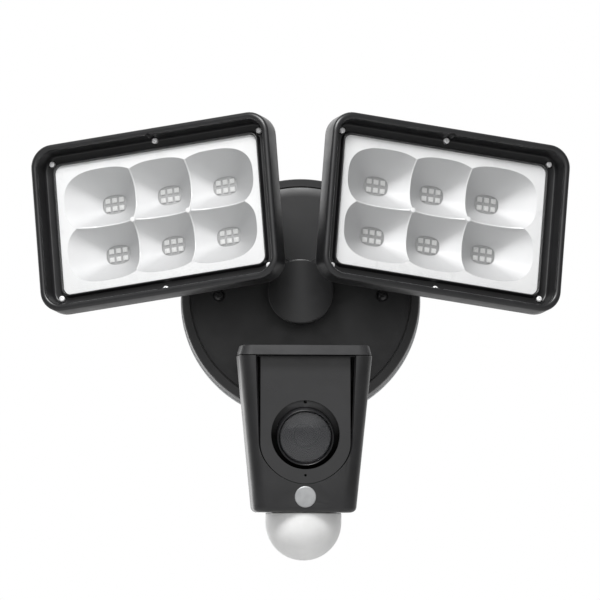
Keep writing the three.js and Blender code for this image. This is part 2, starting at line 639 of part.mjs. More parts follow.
function facePanel() {
  const outline = faceOutline(GAP, FACE_DRAFT);
  const plate = loft([onFace(outline, 0), onFace(outline, 2)]);
  const below = block(0, -30, BODY_TOP - 40 - 0.1, 120, 60, 80);
  const well = drum(WELL_R, -60, -20, 28).translate([0, 0, LENS_Z + 1.2]);
  const dots = [[-2.4, 0.9], [-42.1, 0.7]].map(([z, r]) => drum(r, -60, -20, 6).translate([0, 0, z]));
  const cup = lensPlace(turned([[WELL_R - 0.2, -1], [WELL_R + 1.2, -1], [WELL_R + 1.2, CUP_DEPTH],
    [12, CUP_DEPTH], [12, CUP_DEPTH - CUP_FLOOR], [WELL_R - 0.2, CUP_DEPTH - CUP_FLOOR],
    [WELL_R - 0.2, -1]], 28))
    .translate([0, 0, 1.2])
    .subtract(lensPlace(drum(BARREL_R + GAP, -5, 30, 28)));
  const behind = loft([onFace(outline, 1), onFace(outline, 40)]);
  return plate.subtract(well).add(cup.intersect(behind)).intersect(below).subtract(joined(dots));
}

const lensPlace = (manifold) => manifold.rotate([LENS_DROP, 0, 0]).translate([0, CAMERA_FRONT + 3.6, LENS_Z]);

const lensBarrel = () => lensPlace(turned([[LENS_R + 0.3, -2.2], [LENS_R + 0.8, -3], [BARREL_R - 0.3, -2.8],
  [BARREL_R, -2.2], [BARREL_R, 12], [10, 12], [7, 3], [LENS_R + 0.3, 1.6], [LENS_R + 0.3, -2.2]], 24));

const lensCover = () => lensPlace(turned([[0, -3.2], [6, -2.8], [10.5, -1.9], [LENS_R, -0.9], [LENS_R, 1.2],
  [0, 1.2]], 20));

const sensorBoard = () => lensPlace(joined([block(0, 13.2, 0, 34, 1.6, 30), block(0, 10.9, 0, 9, 3.4, 9),
  drum(6.4, 3.6, 12.6, 14)]));

const mainBoard = () => joined([block(0, -16.2, -18, 44, 1.6, 60), block(-8, -18, -12, 16, 2.6, 16),
  block(10, -18, -32, 12, 2.2, 12), block(0, -14.4, -38, 18, 2.4, 8)]);

const speaker = () => turned([[0, -3], [9, -3], [12, -1.4], [14, -1.4], [14, 1], [8, 4], [8, 7], [0, 7]], 14)
  .translate([0, -9, -31]);

function pirDome() {
  const sphere = (radius, count, top) => {
    const points = [];
    for (let i = 0; i <= count; i += 1) {
      const angle = i / count * Math.PI / 2;
      points.push([radius * Math.sin(angle), -DOME_NECK - radius * Math.cos(angle)]);
    }
    return [...points, [radius, top]];
  };
  const outer = turned([...sphere(DOME_R, 6, -GAP), [17.4, -GAP], [17.4, 6], [0, 6]], 22);
  const inner = turned([...sphere(DOME_R - 1.6, 4, -2.6), [15.6, -1.6], [15.6, 8], [0, 8]], 16);
  return domeAxis(outer.subtract(inner));
}

const pirBoard = () => domeAxis(turned([[0, 7.4], [0, 5], [4.2, 5], [4.2, 6.8], [15, 6.8], [15, 8.2],
  [0, 8.2]], 18));

const badge = () => turned([[0, -0.5], [BADGE_R - 0.4, -0.5], [BADGE_R, -0.2], [BADGE_R, 0.3], [0, 0.3]], 20)
  .translate([0, CAMERA_FRONT, BADGE_Z]);

const tiltPin = () => aim(pin(2, 3.6, 10.6), SIDE);

const resetButton = () => turned([[0, -3.6], [BUTTON_R + 1.4, -3.6], [BUTTON_R + 1.4, -2.4], [BUTTON_R, -2.4],
  [BUTTON_R, 0.4], [BUTTON_R - 0.5, 0.9], [0, 0.9]], 12).translate([0, CAMERA_BACK, BUTTON_Z]);

// ---------- assembly ----------

const camera = new THREE.Group();
const add = (group, name, manifold, look) => group.add(piece(name, manifold, look));

add(camera, "wall_crossbar", crossbar(), zinc);
add(camera, "wall_gasket", wallGasket(), rubber);
add(camera, "canopy", canopy(), black);
add(camera, "arm_hub", hub(), black);
add(camera, "hub_cap", hubCap(), black);
add(camera, "camera_bracket", cameraBracket(), black);
add(camera, "driver_board", driverBoard(), boardGreen);
add(camera, "terminal_block", terminalBlock(), boardWhite);
add(camera, "canopy_screw_left", canopyScrew(-1), darkPlastic);
add(camera, "canopy_screw_right", canopyScrew(1), darkPlastic);
add(camera, "pan_pin", panPin(), steel);

const swivelling = new THREE.Group();
swivelling.position.set(0, PAN_Y, 0);
swivelling.rotation.z = CAMERA_YAW * RAD;
const armFrame = new THREE.Group();
armFrame.position.set(0, -PAN_Y, 0);
swivelling.add(armFrame);
camera.add(swivelling);
add(armFrame, "camera_arm", cameraArm(), black);

const head = new THREE.Group();
head.position.set(0, TILT_Y, TILT_Z);
head.rotation.x = CAMERA_PITCH * RAD;
armFrame.add(head);
add(head, "camera_front_shell", frontShell(), black);
add(head, "camera_rear_shell", rearShell(), black);
add(head, "camera_top_cap", topCap(), black);
add(head, "face_panel", facePanel(), darkPlastic);
add(head, "lens_barrel", lensBarrel(), darkPlastic);
add(head, "lens_cover", lensCover(), lensGlass);
add(head, "sensor_board", sensorBoard(), boardGreen);
add(head, "main_board", mainBoard(), boardGreen);
add(head, "speaker", speaker(), steel);
add(head, "pir_dome", pirDome(), frosted);
add(head, "pir_board", pirBoard(), boardGreen);
add(head, "front_badge", badge(), badgeGrey);
add(head, "tilt_pin", tiltPin(), steel);
add(head, "reset_button", resetButton(), rubber);

// Both lamps come from the same solids. The right side is mirrored in X.
const lampPieces = [
  ["housing", housing(), black], ["bezel", bezel(), black], ["seal", seal(), rubber],
  ["lamp_glass", lampGlass(), clear], ["reflector", reflector(), reflectorWhite],
  ["led_board", ledBoard(), boardWhite], ["knuckle_bolt", knuckleBolt(), steel],
  ...screwPlaces.map(([x, z], i) => [`bezel_screw_${i + 1}`, bezelScrew(x, z), steel]),
].map(([name, manifold, look]) => [name, manifold.transform(lampMatrix().elements.slice()), look]);

for (const [label, side] of [["left", -1], ["right", 1]]) {
  const mirrored = (manifold) => (side < 0 ? manifold : manifold.mirror([1, 0, 0]));
  lampPieces.forEach(([name, manifold, look]) => add(camera, `${name}_${label}`, mirrored(manifold), look));
  add(camera, `lamp_arm_${label}`, mirrored(leftArm()), black);
  add(camera, `lock_collar_${label}`, collar(side), darkPlastic);
}

export default camera;
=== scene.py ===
"""Looks for the floodlight security camera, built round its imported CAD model.

Shapes are made in millimetres in each assembly's own frame, then placed in metres.
The numbers that describe the product repeat those of the CAD source, apart from a few that
only the looks need or that keep their softer surfaces clear of each other.
"""
import math

import bmesh
import bpy
from mathutils import Matrix, Vector


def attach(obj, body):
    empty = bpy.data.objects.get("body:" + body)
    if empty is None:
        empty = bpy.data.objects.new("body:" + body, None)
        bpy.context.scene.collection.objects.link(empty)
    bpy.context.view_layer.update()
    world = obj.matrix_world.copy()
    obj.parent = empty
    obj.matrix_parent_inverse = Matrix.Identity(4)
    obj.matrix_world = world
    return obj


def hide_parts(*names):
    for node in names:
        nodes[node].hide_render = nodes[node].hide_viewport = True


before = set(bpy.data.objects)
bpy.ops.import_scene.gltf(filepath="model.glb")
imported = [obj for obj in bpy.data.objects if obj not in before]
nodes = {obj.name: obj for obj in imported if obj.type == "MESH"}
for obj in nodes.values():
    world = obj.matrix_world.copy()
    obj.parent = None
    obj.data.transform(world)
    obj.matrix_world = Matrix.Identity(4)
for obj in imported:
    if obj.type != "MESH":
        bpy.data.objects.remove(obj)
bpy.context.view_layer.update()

# ---------- product dimensions, in millimetres ----------

GAP = 0.3
CANOPY_R = 65
CANOPY_FRONT = -25
CANOPY_WALL = 2.6
CANOPY_RISE = 1       # how far the face is domed
CANOPY_BEVEL = 4.4    # width of the bevelled rim
CANOPY_HOLE = 14
GASKET_DEPTH = 3
BOX_SCREW_X, BOX_SCREW_Z = 44.45, 0.4
HUB_R = 17.9
POST_R, POST_BORE = 15.8, 12.5
HUB_FRONT = -43
CAP_FRONT = -46
CROWN = 1.2           # the hub cover is this much prouder in the middle
COVER_CURVE = 52      # and its front is curved to this radius from side to side
LOBE_R, LOBE_Y, LOBE_END = 9, -36.7, 25
SWIVEL_CENTRE = Vector((0, -35, 4))
SWIVEL_LEFT = Vector((-0.805, 0, 0.593)).normalized()
SOCKET_R = 8
JOURNAL_R, JOURNAL_START = 6, 13
BORE_R, BORE_START = JOURNAL_R + GAP, 9
WIRE_R = 3.2
ARM_R = 5.8
SOCKET_START, SOCKET_END = 6, 27
COLLAR_R, COLLAR_LENGTH, COLLAR_GRIPS = SOCKET_R + 0.8, 6, 24
LAMP_CENTRE = Vector((-76.9, -78, 38.4))
LAMP_YAW, LAMP_PITCH, LAMP_ROLL = -21.5, -4, -6.2
LAMP_W, LAMP_H, LAMP_CORNER = 139.2, 93, 12
LIP = 8.4             # the bezel's lip stands this far in front of the glass
SKIRT = 4
FRAME = 10.2
CHANNEL = 2.6
BEZEL_WALL = 3.8
WINDOW_W, WINDOW_H, WINDOW_CORNER = LAMP_W - 2 * FRAME, LAMP_H - 2 * FRAME, 4.2
FRAME_SCREW_R, FRAME_SCREW_HEAD, FRAME_SCREW_WELL, FRAME_SCREW_LENGTH = 1.6, 2.4, 0.9, 7.2
BEZEL_BACK = 6.6
HOUSING_BACK = 29
REFLECTOR_FRONT = 2.1
REFLECTOR_DEPTH = 17.4
CELL_HALF_X, CELL_HALF_Z = 22.9, 17.2
CELL_SQUARENESS = 2.7
CELL_DEEPEST, CELL_FLARE = 22, 1.25
LED_X, LED_Z = 32.5, 28.2            # from one cluster to the next
CHIP_X, CHIP_Z, CHIP = 4.0, 4.6, 2.7
BOARD = 1.6
RIDGE = 0.38         # radius of the bright crests between the bowls
STAR_R = 1.5         # and of the bright knots where four bowls meet
SHADED_FOOT = 1.0           # the bowls take the LED board's darker grey for this far in front of it, as painted shade
KNUCKLE_Y, KNUCKLE_Z = 42, -4
EYE_R, EYE_HALF = 9, 7
BOLT_R, BOLT_HOLE_R = 2.5, 2.8
FIN_STEP, FIN_W, FIN_H = 9, 2.2, 54
BRACKET_R, BRACKET_Z = 15, -44
EAR_R, EAR_Z, EAR_HALF = 7.5, 8.2, 1.9
PIN_HOLE_R = 2.3
PAN_Y = -38
NECK_R = 4.9
TILT_Y, TILT_Z = -58, -60
CAMERA_YAW, CAMERA_PITCH = 2.6, 6
CAMERA_TOP_W, CAMERA_BOTTOM_W = 72.4, 55.6
CAMERA_TOP, CAMERA_BOTTOM = 28.5, -62.1
CAMERA_FRONT, CAMERA_SEAM, CAMERA_BACK = -44, -14, 4
CAP_H = 5.4
BODY_TOP = CAMERA_TOP - CAP_H - GAP
BODY_CORNER = 8.5
SHELL = 2.4
NOTCH_W, NOTCH_Z = 15.4, 4           # the notch at the back for the camera's arm
FACE_TOP_W, FACE_BOTTOM, FACE_DEPTH = 55.2, -47, 7.5
FACE_DRAFT = 0.36
LENS_Z, LENS_R, LENS_DROP = -21.4, 14.1, 9
LENS_SINK = 3.6
BARREL_R, WELL_R, CUP_DEPTH, CUP_FLOOR = 15.5, 18.7, 5.6, 1.2
WELL_RISE = 1.2       # the well round the lens sits this much above its middle
BADGE_Z, BADGE_R = -53.8, 5.8
DOME_R, DOME_NECK, DOME_Y, DOME_HOLE_R = 20.6, 5.5, -21, 17.8
BUTTON_Z, BUTTON_R = -44, 2.6
SCREW_PLACES = [(-60.7, 37.6), (0, 41.4), (60.7, 37.6), (-60.7, -37.6), (0, -41.4), (60.7, -37.6)]

UP, ACROSS = (0, 0, 1), (1, 0, 0)
SIDES = ((-1, "left"), (1, "right"))
CELLS = [(column, row) for column in (-1, 0, 1) for row in (-0.5, 0.5)]
BIG = 200             # cutting blocks are this large, to reach past everything
SHARP = 32            # edges of more than this many degrees stay crisp in the shading


# ---------- shapes ----------
# A shape is (points, faces), in millimetres.

def rounded_rectangle(width, height, radius, steps=8):
    """Outline in X and Z, counter-clockwise seen from the front."""
    radius = max(radius, 0.2)
    points = []
    for quarter, (sx, sz) in enumerate([(1, 1), (-1, 1), (-1, -1), (1, -1)]):
        for i in range(steps + 1):
            angle = (quarter + i / steps) * math.pi / 2
            points.append((sx * (width / 2 - radius) + radius * math.cos(angle),
                           sz * (height / 2 - radius) + radius * math.sin(angle)))
    return points


def ring(outline, y):
    return [Vector((x, y, z)) for x, z in outline]


def fillet(points, radius, steps=3, closed=True):
    """Rounds the corners of a polyline. radius is one number, or one per point."""
    count = len(points)
    radii = radius if isinstance(radius, list) else [radius] * count
    rounded = []
    for i, point in enumerate(points):
        here = Vector(point)
        if radii[i] == 0 or (not closed and i in (0, count - 1)):
            rounded.append(here)
            continue
        before = Vector(points[i - 1]) - here
        after = Vector(points[(i + 1) % count]) - here
        start = here + before.normalized() * min(radii[i], before.length * 0.45)
        end = here + after.normalized() * min(radii[i], after.length * 0.45)
        for k in range(steps + 1):
            t = k / steps
            rounded.append(start * (1 - t) ** 2 + here * 2 * t * (1 - t) + end * t ** 2)
    return rounded


def loft(rings, closed=False):
    """A skin through rings of equal point count. With closed the last ring joins the first."""
    count = len(rings[0])
    points = [Vector(p) for one in rings for p in one]
    faces = []
    spans = len(rings) if closed else len(rings) - 1
    for k in range(spans):
        a = k * count
        b = ((k + 1) % len(rings)) * count
        for i in range(count):
            j = (i + 1) % count
            faces.append((a + i, a + j, b + j, b + i))
    if not closed:
        faces.append(tuple(range(count)))
        faces.append(tuple(range((len(rings) - 1) * count, len(rings) * count)))
    return points, faces


def turned(profile, segments, closed=False):
    """A solid turned about Y from (radius, y) points. Open profiles get flat ends."""
    rings = []
    turns = [2 * math.pi * i / segments for i in range(segments)]
    for r, y in profile:
        r = max(r, 0.02)
        rings.append([Vector((r * math.cos(turn), y, r * math.sin(turn))) for turn in turns])
    return loft(rings, closed)


def profile_of(points, edge, steps=3, closed=True):
    return [(p[0], p[1]) for p in fillet(points, edge, steps, closed)]


def lathe(points, edge, segments, steps=3):
    """A solid turned about Y from (radius, y) corners that are rounded by edge."""
    return turned(profile_of(points, edge, steps, False), segments)


def drum(radius, front, back, edge, segments=48):
    """A round block about Y with softened rims."""
    return lathe([(0, front), (radius, front), (radius, back), (0, back)], edge, segments)


def tube_ring(outer, inner, front, back, edge, segments):
    corners = [(inner, front), (outer, front), (outer, back), (inner, back)]
    return turned(profile_of(corners, edge), segments, closed=True)


def slab(width, height, radius, front, back, edge, steps=6):
    """A rounded plate between two depths with softened rims."""
    levels = [(edge, front), (edge * 0.3, front + edge * 0.3), (0, front + edge),
              (0, back - edge), (edge * 0.3, back - edge * 0.3), (edge, back)]
    return loft([ring(rounded_rectangle(width - 2 * cut, height - 2 * cut, radius - cut, steps), y)
                 for cut, y in levels])


def block(x, y, z, w, d, h, edge=0.25):
    """A softened block by its middle and its size."""
    return shifted(slab(w, h, edge * 1.5, y - d / 2, y + d / 2, edge, 3), x, 0, z)


def sweep(path, radius, segments):
    """A round bar along a list of points, with flat ends."""
    rings = []
    side = None
    turns = [2 * math.pi * k / segments for k in range(segments)]
    for i, point in enumerate(path):
        along = (path[min(i + 1, len(path) - 1)] - path[max(i - 1, 0)]).normalized()
        if side is None:
            side = along.orthogonal().normalized()
        side = (side - along * side.dot(along)).normalized()
        other = along.cross(side)
        rings.append([point + (side * math.cos(turn) + other * math.sin(turn)) * radius for turn in turns])
    return loft(rings)


def bezier(a, b, c, d, count):
    points = []
    for i in range(count + 1):
        t = i / count
        points.append(a * (1 - t) ** 3 + b * 3 * t * (1 - t) ** 2 + c * 3 * t ** 2 * (1 - t) + d * t ** 3)
    return points


def moved(shape, matrix):
    points, faces = shape
    return [matrix @ p for p in points], faces


def shifted(shape, x, y, z):
    return moved(shape, Matrix.Translation((x, y, z)))


def together(*shapes):
    """Several shapes that don't touch, as one."""
    points, faces = [], []
    for some_points, some_faces in shapes:
        start = len(points)
        points += some_points
        faces += [tuple(start + i for i in face) for face in some_faces]
    return points, faces


def aim(shape, direction, origin=(0, 0, 0)):
    """Turns a shape made about Y so that its +Y points along a direction, then moves it."""
    turn = Vector((0, 1, 0)).rotation_difference(Vector(direction)).to_matrix().to_4x4()
    return moved(shape, Matrix.Translation(origin) @ turn)


def mesh_of(shape):
    if isinstance(shape, bpy.types.Mesh):
        return shape
    points, faces = shape
    mesh = bpy.data.meshes.new("shape")
    mesh.from_pydata([tuple(p) for p in points], [], faces)
    bm = bmesh.new()
    bm.from_mesh(mesh)
    bmesh.ops.remove_doubles(bm, verts=bm.verts, dist=0.002)
    bmesh.ops.recalc_face_normals(bm, faces=bm.faces)
    bm.to_mesh(mesh)
    bm.free()
    return mesh


def added(name, data):
    """A new object in the scene."""
    thing = bpy.data.objects.new(name, data)
    bpy.context.scene.collection.objects.link(thing)
    return thing


def baked(thing, *helpers):
    """The mesh of a scratch object with its modifiers applied. It and its helpers are removed."""
    bpy.context.view_layer.update()
    mesh = bpy.data.meshes.new_from_object(thing.evaluated_get(bpy.context.evaluated_depsgraph_get()))
    for one in (thing, *helpers):
        bpy.data.objects.remove(one)
    return mesh


def combine(operation, base, *tools):
    """A boolean of shapes or meshes: operation is UNION, DIFFERENCE or INTERSECT."""
    target = added("scratch", mesh_of(base))
    others = [added("scratch", mesh_of(tool)) for tool in tools]
    for other in others:
        modifier = target.modifiers.new("cut", "BOOLEAN")
        modifier.operation = operation
        modifier.solver = "EXACT"
        modifier.object = other
    return baked(target, *others)


def soften(shape, width, angle):
    """Rounds the edges sharper than an angle."""
    target = added("scratch", mesh_of(shape))
    modifier = target.modifiers.new("bevel", "BEVEL")
    modifier.width = width
    modifier.segments = 2
    modifier.limit_method = "ANGLE"
    modifier.angle_limit = math.radians(angle)
    modifier.use_clamp_overlap = True
    modifier.miter_outer = "MITER_ARC"
    return baked(target)


def melted(shape, cell, rounds):
    """Blends the creases of a shape into soft curves."""
    target = added("scratch", mesh_of(shape))
    remesh = target.modifiers.new("remesh", "REMESH")
    remesh.mode = "VOXEL"
    remesh.voxel_size = cell
    smooth = target.modifiers.new("smooth", "SMOOTH")
    smooth.factor = 0.5
    smooth.iterations = rounds
    return baked(target)


MM = Matrix.Scale(0.001, 4)
MIRROR = Matrix.Scale(-1, 4, (1, 0, 0))


def piece(name, shape, body, replaced, look, place=Matrix.Identity(4)):
    """Makes an object of a shape that stands for CAD nodes and rides on a body."""
    mesh = mesh_of(shape).copy()
    mesh.name = name
    matrix = MM @ place
    mesh.transform(matrix)
    if matrix.determinant() < 0:
        mesh.flip_normals()
    parts = [face.material_index for face in mesh.polygons]
    mesh.materials.clear()
    looks = look if isinstance(look, list) else [look]
    for one in looks:
        mesh.materials.append(one)
    if len(looks) > 1:
        mesh.polygons.foreach_set("material_index", parts)
    mesh.shade_smooth()
    mesh.set_sharp_from_angle(angle=math.radians(SHARP))
    thing = added(name, mesh)
    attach(thing, body)
    if replaced:
        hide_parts(*replaced)


# ---------- materials ----------

MATH, VECTOR = "ShaderNodeMath", "ShaderNodeVectorMath"


class Nodes:
    """Adds nodes to a node tree and joins them."""

    def __init__(self, tree):
        self.tree = tree

    def add(self, kind, **settings):
        node = self.tree.nodes.new(kind)
        for key, value in settings.items():
            setattr(node, key, value)
        return node

    def link(self, source, target):
        self.tree.links.new(source, target)

    def sum(self, kind, operation, *values):
        """A math node on sockets and numbers."""
        node = self.add(kind, operation=operation)
        for socket, value in zip(node.inputs, values):
            if isinstance(value, bpy.types.NodeSocket):
                self.link(value, socket)
            else:
                socket.default_value = value
        return node.outputs["Vector" if operation == "SUBTRACT" else "Value"]

    def spread(self, value, low, high, start=0.3, end=0.7, **settings):
        """Maps a value between start and end to one between low and high."""
        node = self.add("ShaderNodeMapRange", **settings)
        for key, number in (("From Min", start), ("From Max", end), ("To Min", low), ("To Max", high)):
            node.inputs[key].default_value = number
        self.link(value, node.inputs["Value"])
        return node.outputs["Result"]


class Look(Nodes):
    """Builds one node material. Coordinates are the object's own, in metres."""

    def __init__(self, name):
        self.material = bpy.data.materials.new(name)
        self.material.use_nodes = True
        super().__init__(self.material.node_tree)
        self.shader = self.tree.nodes["Principled BSDF"]
        self.place = self.add("ShaderNodeTexCoord").outputs["Object"]

    def noise(self, size_mm, detail=3.0, rough=0.5, stretch=None):
        """Noise whose features are about this many millimetres across."""
        node = self.add("ShaderNodeTexNoise")
        node.inputs["Scale"].default_value = 1000 / size_mm
        node.inputs["Detail"].default_value = detail
        node.inputs["Roughness"].default_value = rough
        place = self.place
        if stretch:
            mapping = self.add("ShaderNodeMapping")
            mapping.inputs["Scale"].default_value = stretch
            self.link(place, mapping.inputs["Vector"])
            place = mapping.outputs["Vector"]
        self.link(place, node.inputs["Vector"])
        return node.outputs["Fac"]

    def cells(self, size_mm):
        node = self.add("ShaderNodeTexVoronoi")
        node.inputs["Scale"].default_value = 1000 / size_mm
        self.link(self.place, node.inputs["Vector"])
        return node

    def blend(self, factor, first, second):
        """Mixes two colours, each an (r, g, b) or a socket."""
        node = self.add("ShaderNodeMix", data_type="RGBA")
        self.link(factor, node.inputs["Factor"])
        for key, value in (("A", first), ("B", second)):
            socket = [s for s in node.inputs if s.name == key and s.type == "RGBA"][0]
            if isinstance(value, tuple):
                socket.default_value = (*value, 1)
            else:
                self.link(value, socket)
        return [s for s in node.outputs if s.type == "RGBA"][0]

    def mottle(self, noise, first, second):
        """Two colours in soft patches. noise holds the noise's arguments."""
        return self.blend(self.spread(self.noise(*noise), 0, 1), first, second)

    def worn_edges(self):
        """About 1 on sharp outer edges and 0 on flat ground, broken up by noise."""
        bevel = self.add("ShaderNodeBevel", samples=4)
        bevel.inputs["Radius"].default_value = 0.0005
        geometry = self.add("ShaderNodeNewGeometry")
        bent = self.sum(VECTOR, "DOT_PRODUCT", bevel.outputs["Normal"], geometry.outputs["Normal"])
        patches = self.spread(self.noise(5, 4), 0.1, 1, 0.4, 0.65)
        return self.sum(MATH, "MULTIPLY", self.spread(bent, 1, 0, 0.75, 0.99), patches)

    def facing_in(self):
        """From -1 on walls that face the product's middle plane to 1 on those that face away from it."""
        where = self.add("ShaderNodeSeparateXYZ")
        self.link(self.place, where.inputs["Vector"])
        facing = self.add("ShaderNodeSeparateXYZ")
        self.link(self.add("ShaderNodeTexCoord").outputs["Normal"], facing.inputs["Vector"])
        across = self.sum(MATH, "MULTIPLY", facing.outputs["X"], self.sum(MATH, "SIGN", where.outputs["X"]))
        return self.sum(MATH, "MULTIPLY_ADD", facing.outputs["Z"], -0.25, across)

    def depth_behind(self, point, inward, full_mm):
        """0 on a plane and 1 at a depth behind it. The point is in metres."""
        away = self.sum(VECTOR, "SUBTRACT", self.place, point)
        return self.spread(self.sum(VECTOR, "DOT_PRODUCT", away, inward), 0, 1, 0.0004, full_mm / 1000)

    def bump(self, height, depth_mm, strength, under=None):
        node = self.add("ShaderNodeBump")
        node.inputs["Strength"].default_value = strength
        node.inputs["Distance"].default_value = depth_mm / 1000
        self.link(height, node.inputs["Height"])
        if under:
            self.link(under, node.inputs["Normal"])
        return node.outputs["Normal"]

    def set(self, **values):
        for key, value in values.items():
            self.shader.inputs[key.replace("_", " ")].default_value = value

    def connect(self, **sockets):
        for key, value in sockets.items():
            self.link(value, self.shader.inputs[key.replace("_", " ")])


def grey(tone):
    return (tone, tone, tone)


def moulded(name, colour, lighter, roughness, grain_mm=0.45, depth_mm=0.012, wear=grey(0.05)):
    """Moulded or painted black: fine grain, faint mottling, rubbed edges."""
    look = Look(name)
    mottled = look.mottle((22, 5, 0.6), colour, lighter)
    specks = look.blend(look.spread(look.noise(0.6, 2), 0, 0.35, 0.5, 0.75), mottled, lighter)
    look.connect(Base_Color=look.blend(look.worn_edges(), specks, wear))
    smudged = look.noise(9, 5, 0.65)
    look.connect(Roughness=look.spread(smudged, roughness - 0.05, roughness + 0.08, 0.25, 0.75))
    broad = look.bump(look.noise(7, 2), 0.02, 0.25)
    look.connect(Normal=look.bump(look.noise(grain_mm, 3, 0.6), depth_mm, 0.6, broad))
    return look.material


def brushed_metal(name, colour, darker, roughness, stretch=(1, 1, 8)):
    look = Look(name)
    brushed = look.noise(0.5, 4, 0.6, stretch)
    stains = look.noise(6, 4, 0.6)
    look.connect(Base_Color=look.blend(look.spread(stains, 0, 1, 0.35, 0.7), colour, darker),
                 Roughness=look.spread(brushed, roughness - 0.08, roughness + 0.14),
                 Normal=look.bump(brushed, 0.01, 0.5))
    look.set(Metallic=1.0)
    return look.material


def patchy(name, colour, lighter, patches, gloss, grain, **settings):
    """A material in soft patches of two colours.

    patches holds the arguments of their noise, gloss the noise and its least and greatest
    roughness, and grain the noise, depth in millimetres and strength of the bumps.
    """
    look = Look(name)
    look.connect(Base_Color=look.mottle(patches, colour, lighter),
                 Roughness=look.spread(look.noise(*gloss[0]), *gloss[1:]),
                 Normal=look.bump(look.noise(*grain[0]), *grain[1:]))
    look.set(**settings)
    return look.material


def rubber(name, colour, lighter):
    return patchy(name, colour, lighter, (3, 4), ((2.5, 4), 0.62, 0.82), ((0.35, 3, 0.6), 0.02, 0.6))


def coated_lens(name, alpha):
    smear = (7, 4, 0.6)
    return patchy(name, (0.03, 0.031, 0.034), (0.045, 0.046, 0.05), smear, (smear, 0.08, 0.14),
                  ((9, 2), 0.02, 0.1), Specular_IOR_Level=0.6, Coat_Weight=0.6, Coat_Roughness=0.04,
                  Alpha=alpha)


def zinc_plate():
    look = Look("zinc_plate")
    spangle = look.cells(3.2)
    tone = look.add("ShaderNodeSeparateColor")
    look.link(spangle.outputs["Color"], tone.inputs["Color"])
    look.connect(Base_Color=look.blend(tone.outputs["Red"], (0.55, 0.56, 0.58), (0.72, 0.73, 0.75)),
                 Roughness=look.spread(tone.outputs["Green"], 0.32, 0.5, 0, 1),
                 Normal=look.bump(look.noise(0.4, 3), 0.006, 0.5))
    look.set(Metallic=1.0)
    return look.material


def foam():
    look = Look("closed_cell_foam")
    look.connect(Base_Color=look.mottle((4, 4), (0.50, 0.51, 0.52), (0.64, 0.65, 0.66)),
                 Normal=look.bump(look.cells(0.8).outputs["Distance"], 0.12, 0.7),
                 Roughness=look.spread(look.noise(2), 0.8, 0.95))
    return look.material


def circuit_board():
    """Green board with lighter tracks and tinned through-holes."""
    look = Look("circuit_board")
    tracks = look.add("ShaderNodeTexBrick")
    tracks.inputs["Scale"].default_value = 95
    tracks.inputs["Mortar Size"].default_value = 0.022
    for key, tone in (("Color1", 0), ("Color2", 0.15), ("Mortar", 1)):
        tracks.inputs[key].default_value = (*grey(tone), 1)
    turn = look.add("ShaderNodeMapping")
    turn.inputs["Rotation"].default_value = (math.pi / 2, 0, 0)
    look.link(look.place, turn.inputs["Vector"])
    look.link(turn.outputs["Vector"], tracks.inputs["Vector"])
    mask = look.add("ShaderNodeSeparateColor")
    look.link(tracks.outputs["Color"], mask.inputs["Color"])
    base = look.mottle((5, 3), (0.012, 0.085, 0.035), (0.018, 0.11, 0.045))
    tracked = look.blend(mask.outputs["Red"], base, (0.035, 0.2, 0.09))
    vias = look.spread(look.cells(3.4).outputs["Distance"], 1, 0, 0.1, 0.16)
    look.connect(Base_Color=look.blend(vias, tracked, (0.62, 0.60, 0.55)),
                 Roughness=look.spread(look.noise(3, 3), 0.28, 0.42),
                 Normal=look.bump(mask.outputs["Red"], 0.03, 0.6))
    return look.material


def silvered():
    """The satin metallised walls of the reflector bowls, with painted shade: walls that face away from the
    product's middle, or downward, are darker.
    """
    look = Look("silvered_bowl")
    satin = look.mottle((18, 3), (0.66, 0.66, 0.665), (0.71, 0.71, 0.715))
    # Painted shade: walls that face away from the product's middle, or downward, turn darker grey; walls
    # that face the middle, or upward, keep the lighter satin.
    inward = look.facing_in()
    painted_half_shade = look.blend(look.spread(inward, 0, 1, -0.5, -0.2), satin, (0.49, 0.49, 0.495))
    look.connect(Base_Color=look.blend(look.spread(inward, 0, 1, 0.1, 0.85), painted_half_shade, (0.34, 0.34, 0.345)),
                 Roughness=look.spread(look.noise(7, 3), 0.5, 0.58),
                 Normal=look.bump(look.noise(0.5, 2), 0.004, 0.3))
    look.set(Metallic=0.15, Specular_IOR_Level=0.35)
    return look.material


shell_black = moulded("shell_black", (0.0085, 0.0085, 0.009), (0.013, 0.013, 0.0138), 0.36)
# The cap's black is lighter than the shell's: painted light, for the light from above on its bevelled top.
cap_black_painted_light = moulded("cap_black_painted_light", (0.021, 0.021, 0.022), (0.028, 0.028, 0.029), 0.42)
canopy_black = moulded("canopy_black", (0.0085, 0.0085, 0.009), (0.013, 0.013, 0.0138), 0.4)
lamp_black = moulded("lamp_black", (0.009, 0.009, 0.0095), (0.014, 0.014, 0.015), 0.34, 0.8, 0.014,
                     grey(0.07))
trim_black = moulded("trim_black", (0.006, 0.006, 0.0065), (0.01, 0.01, 0.011), 0.34, 0.4, 0.008)
screw_steel = brushed_metal("screw_steel", grey(0.9), (0.8, 0.8, 0.81), 0.42)
speaker_steel = brushed_metal("speaker_steel", grey(0.5), grey(0.4), 0.38, (1, 8, 1))
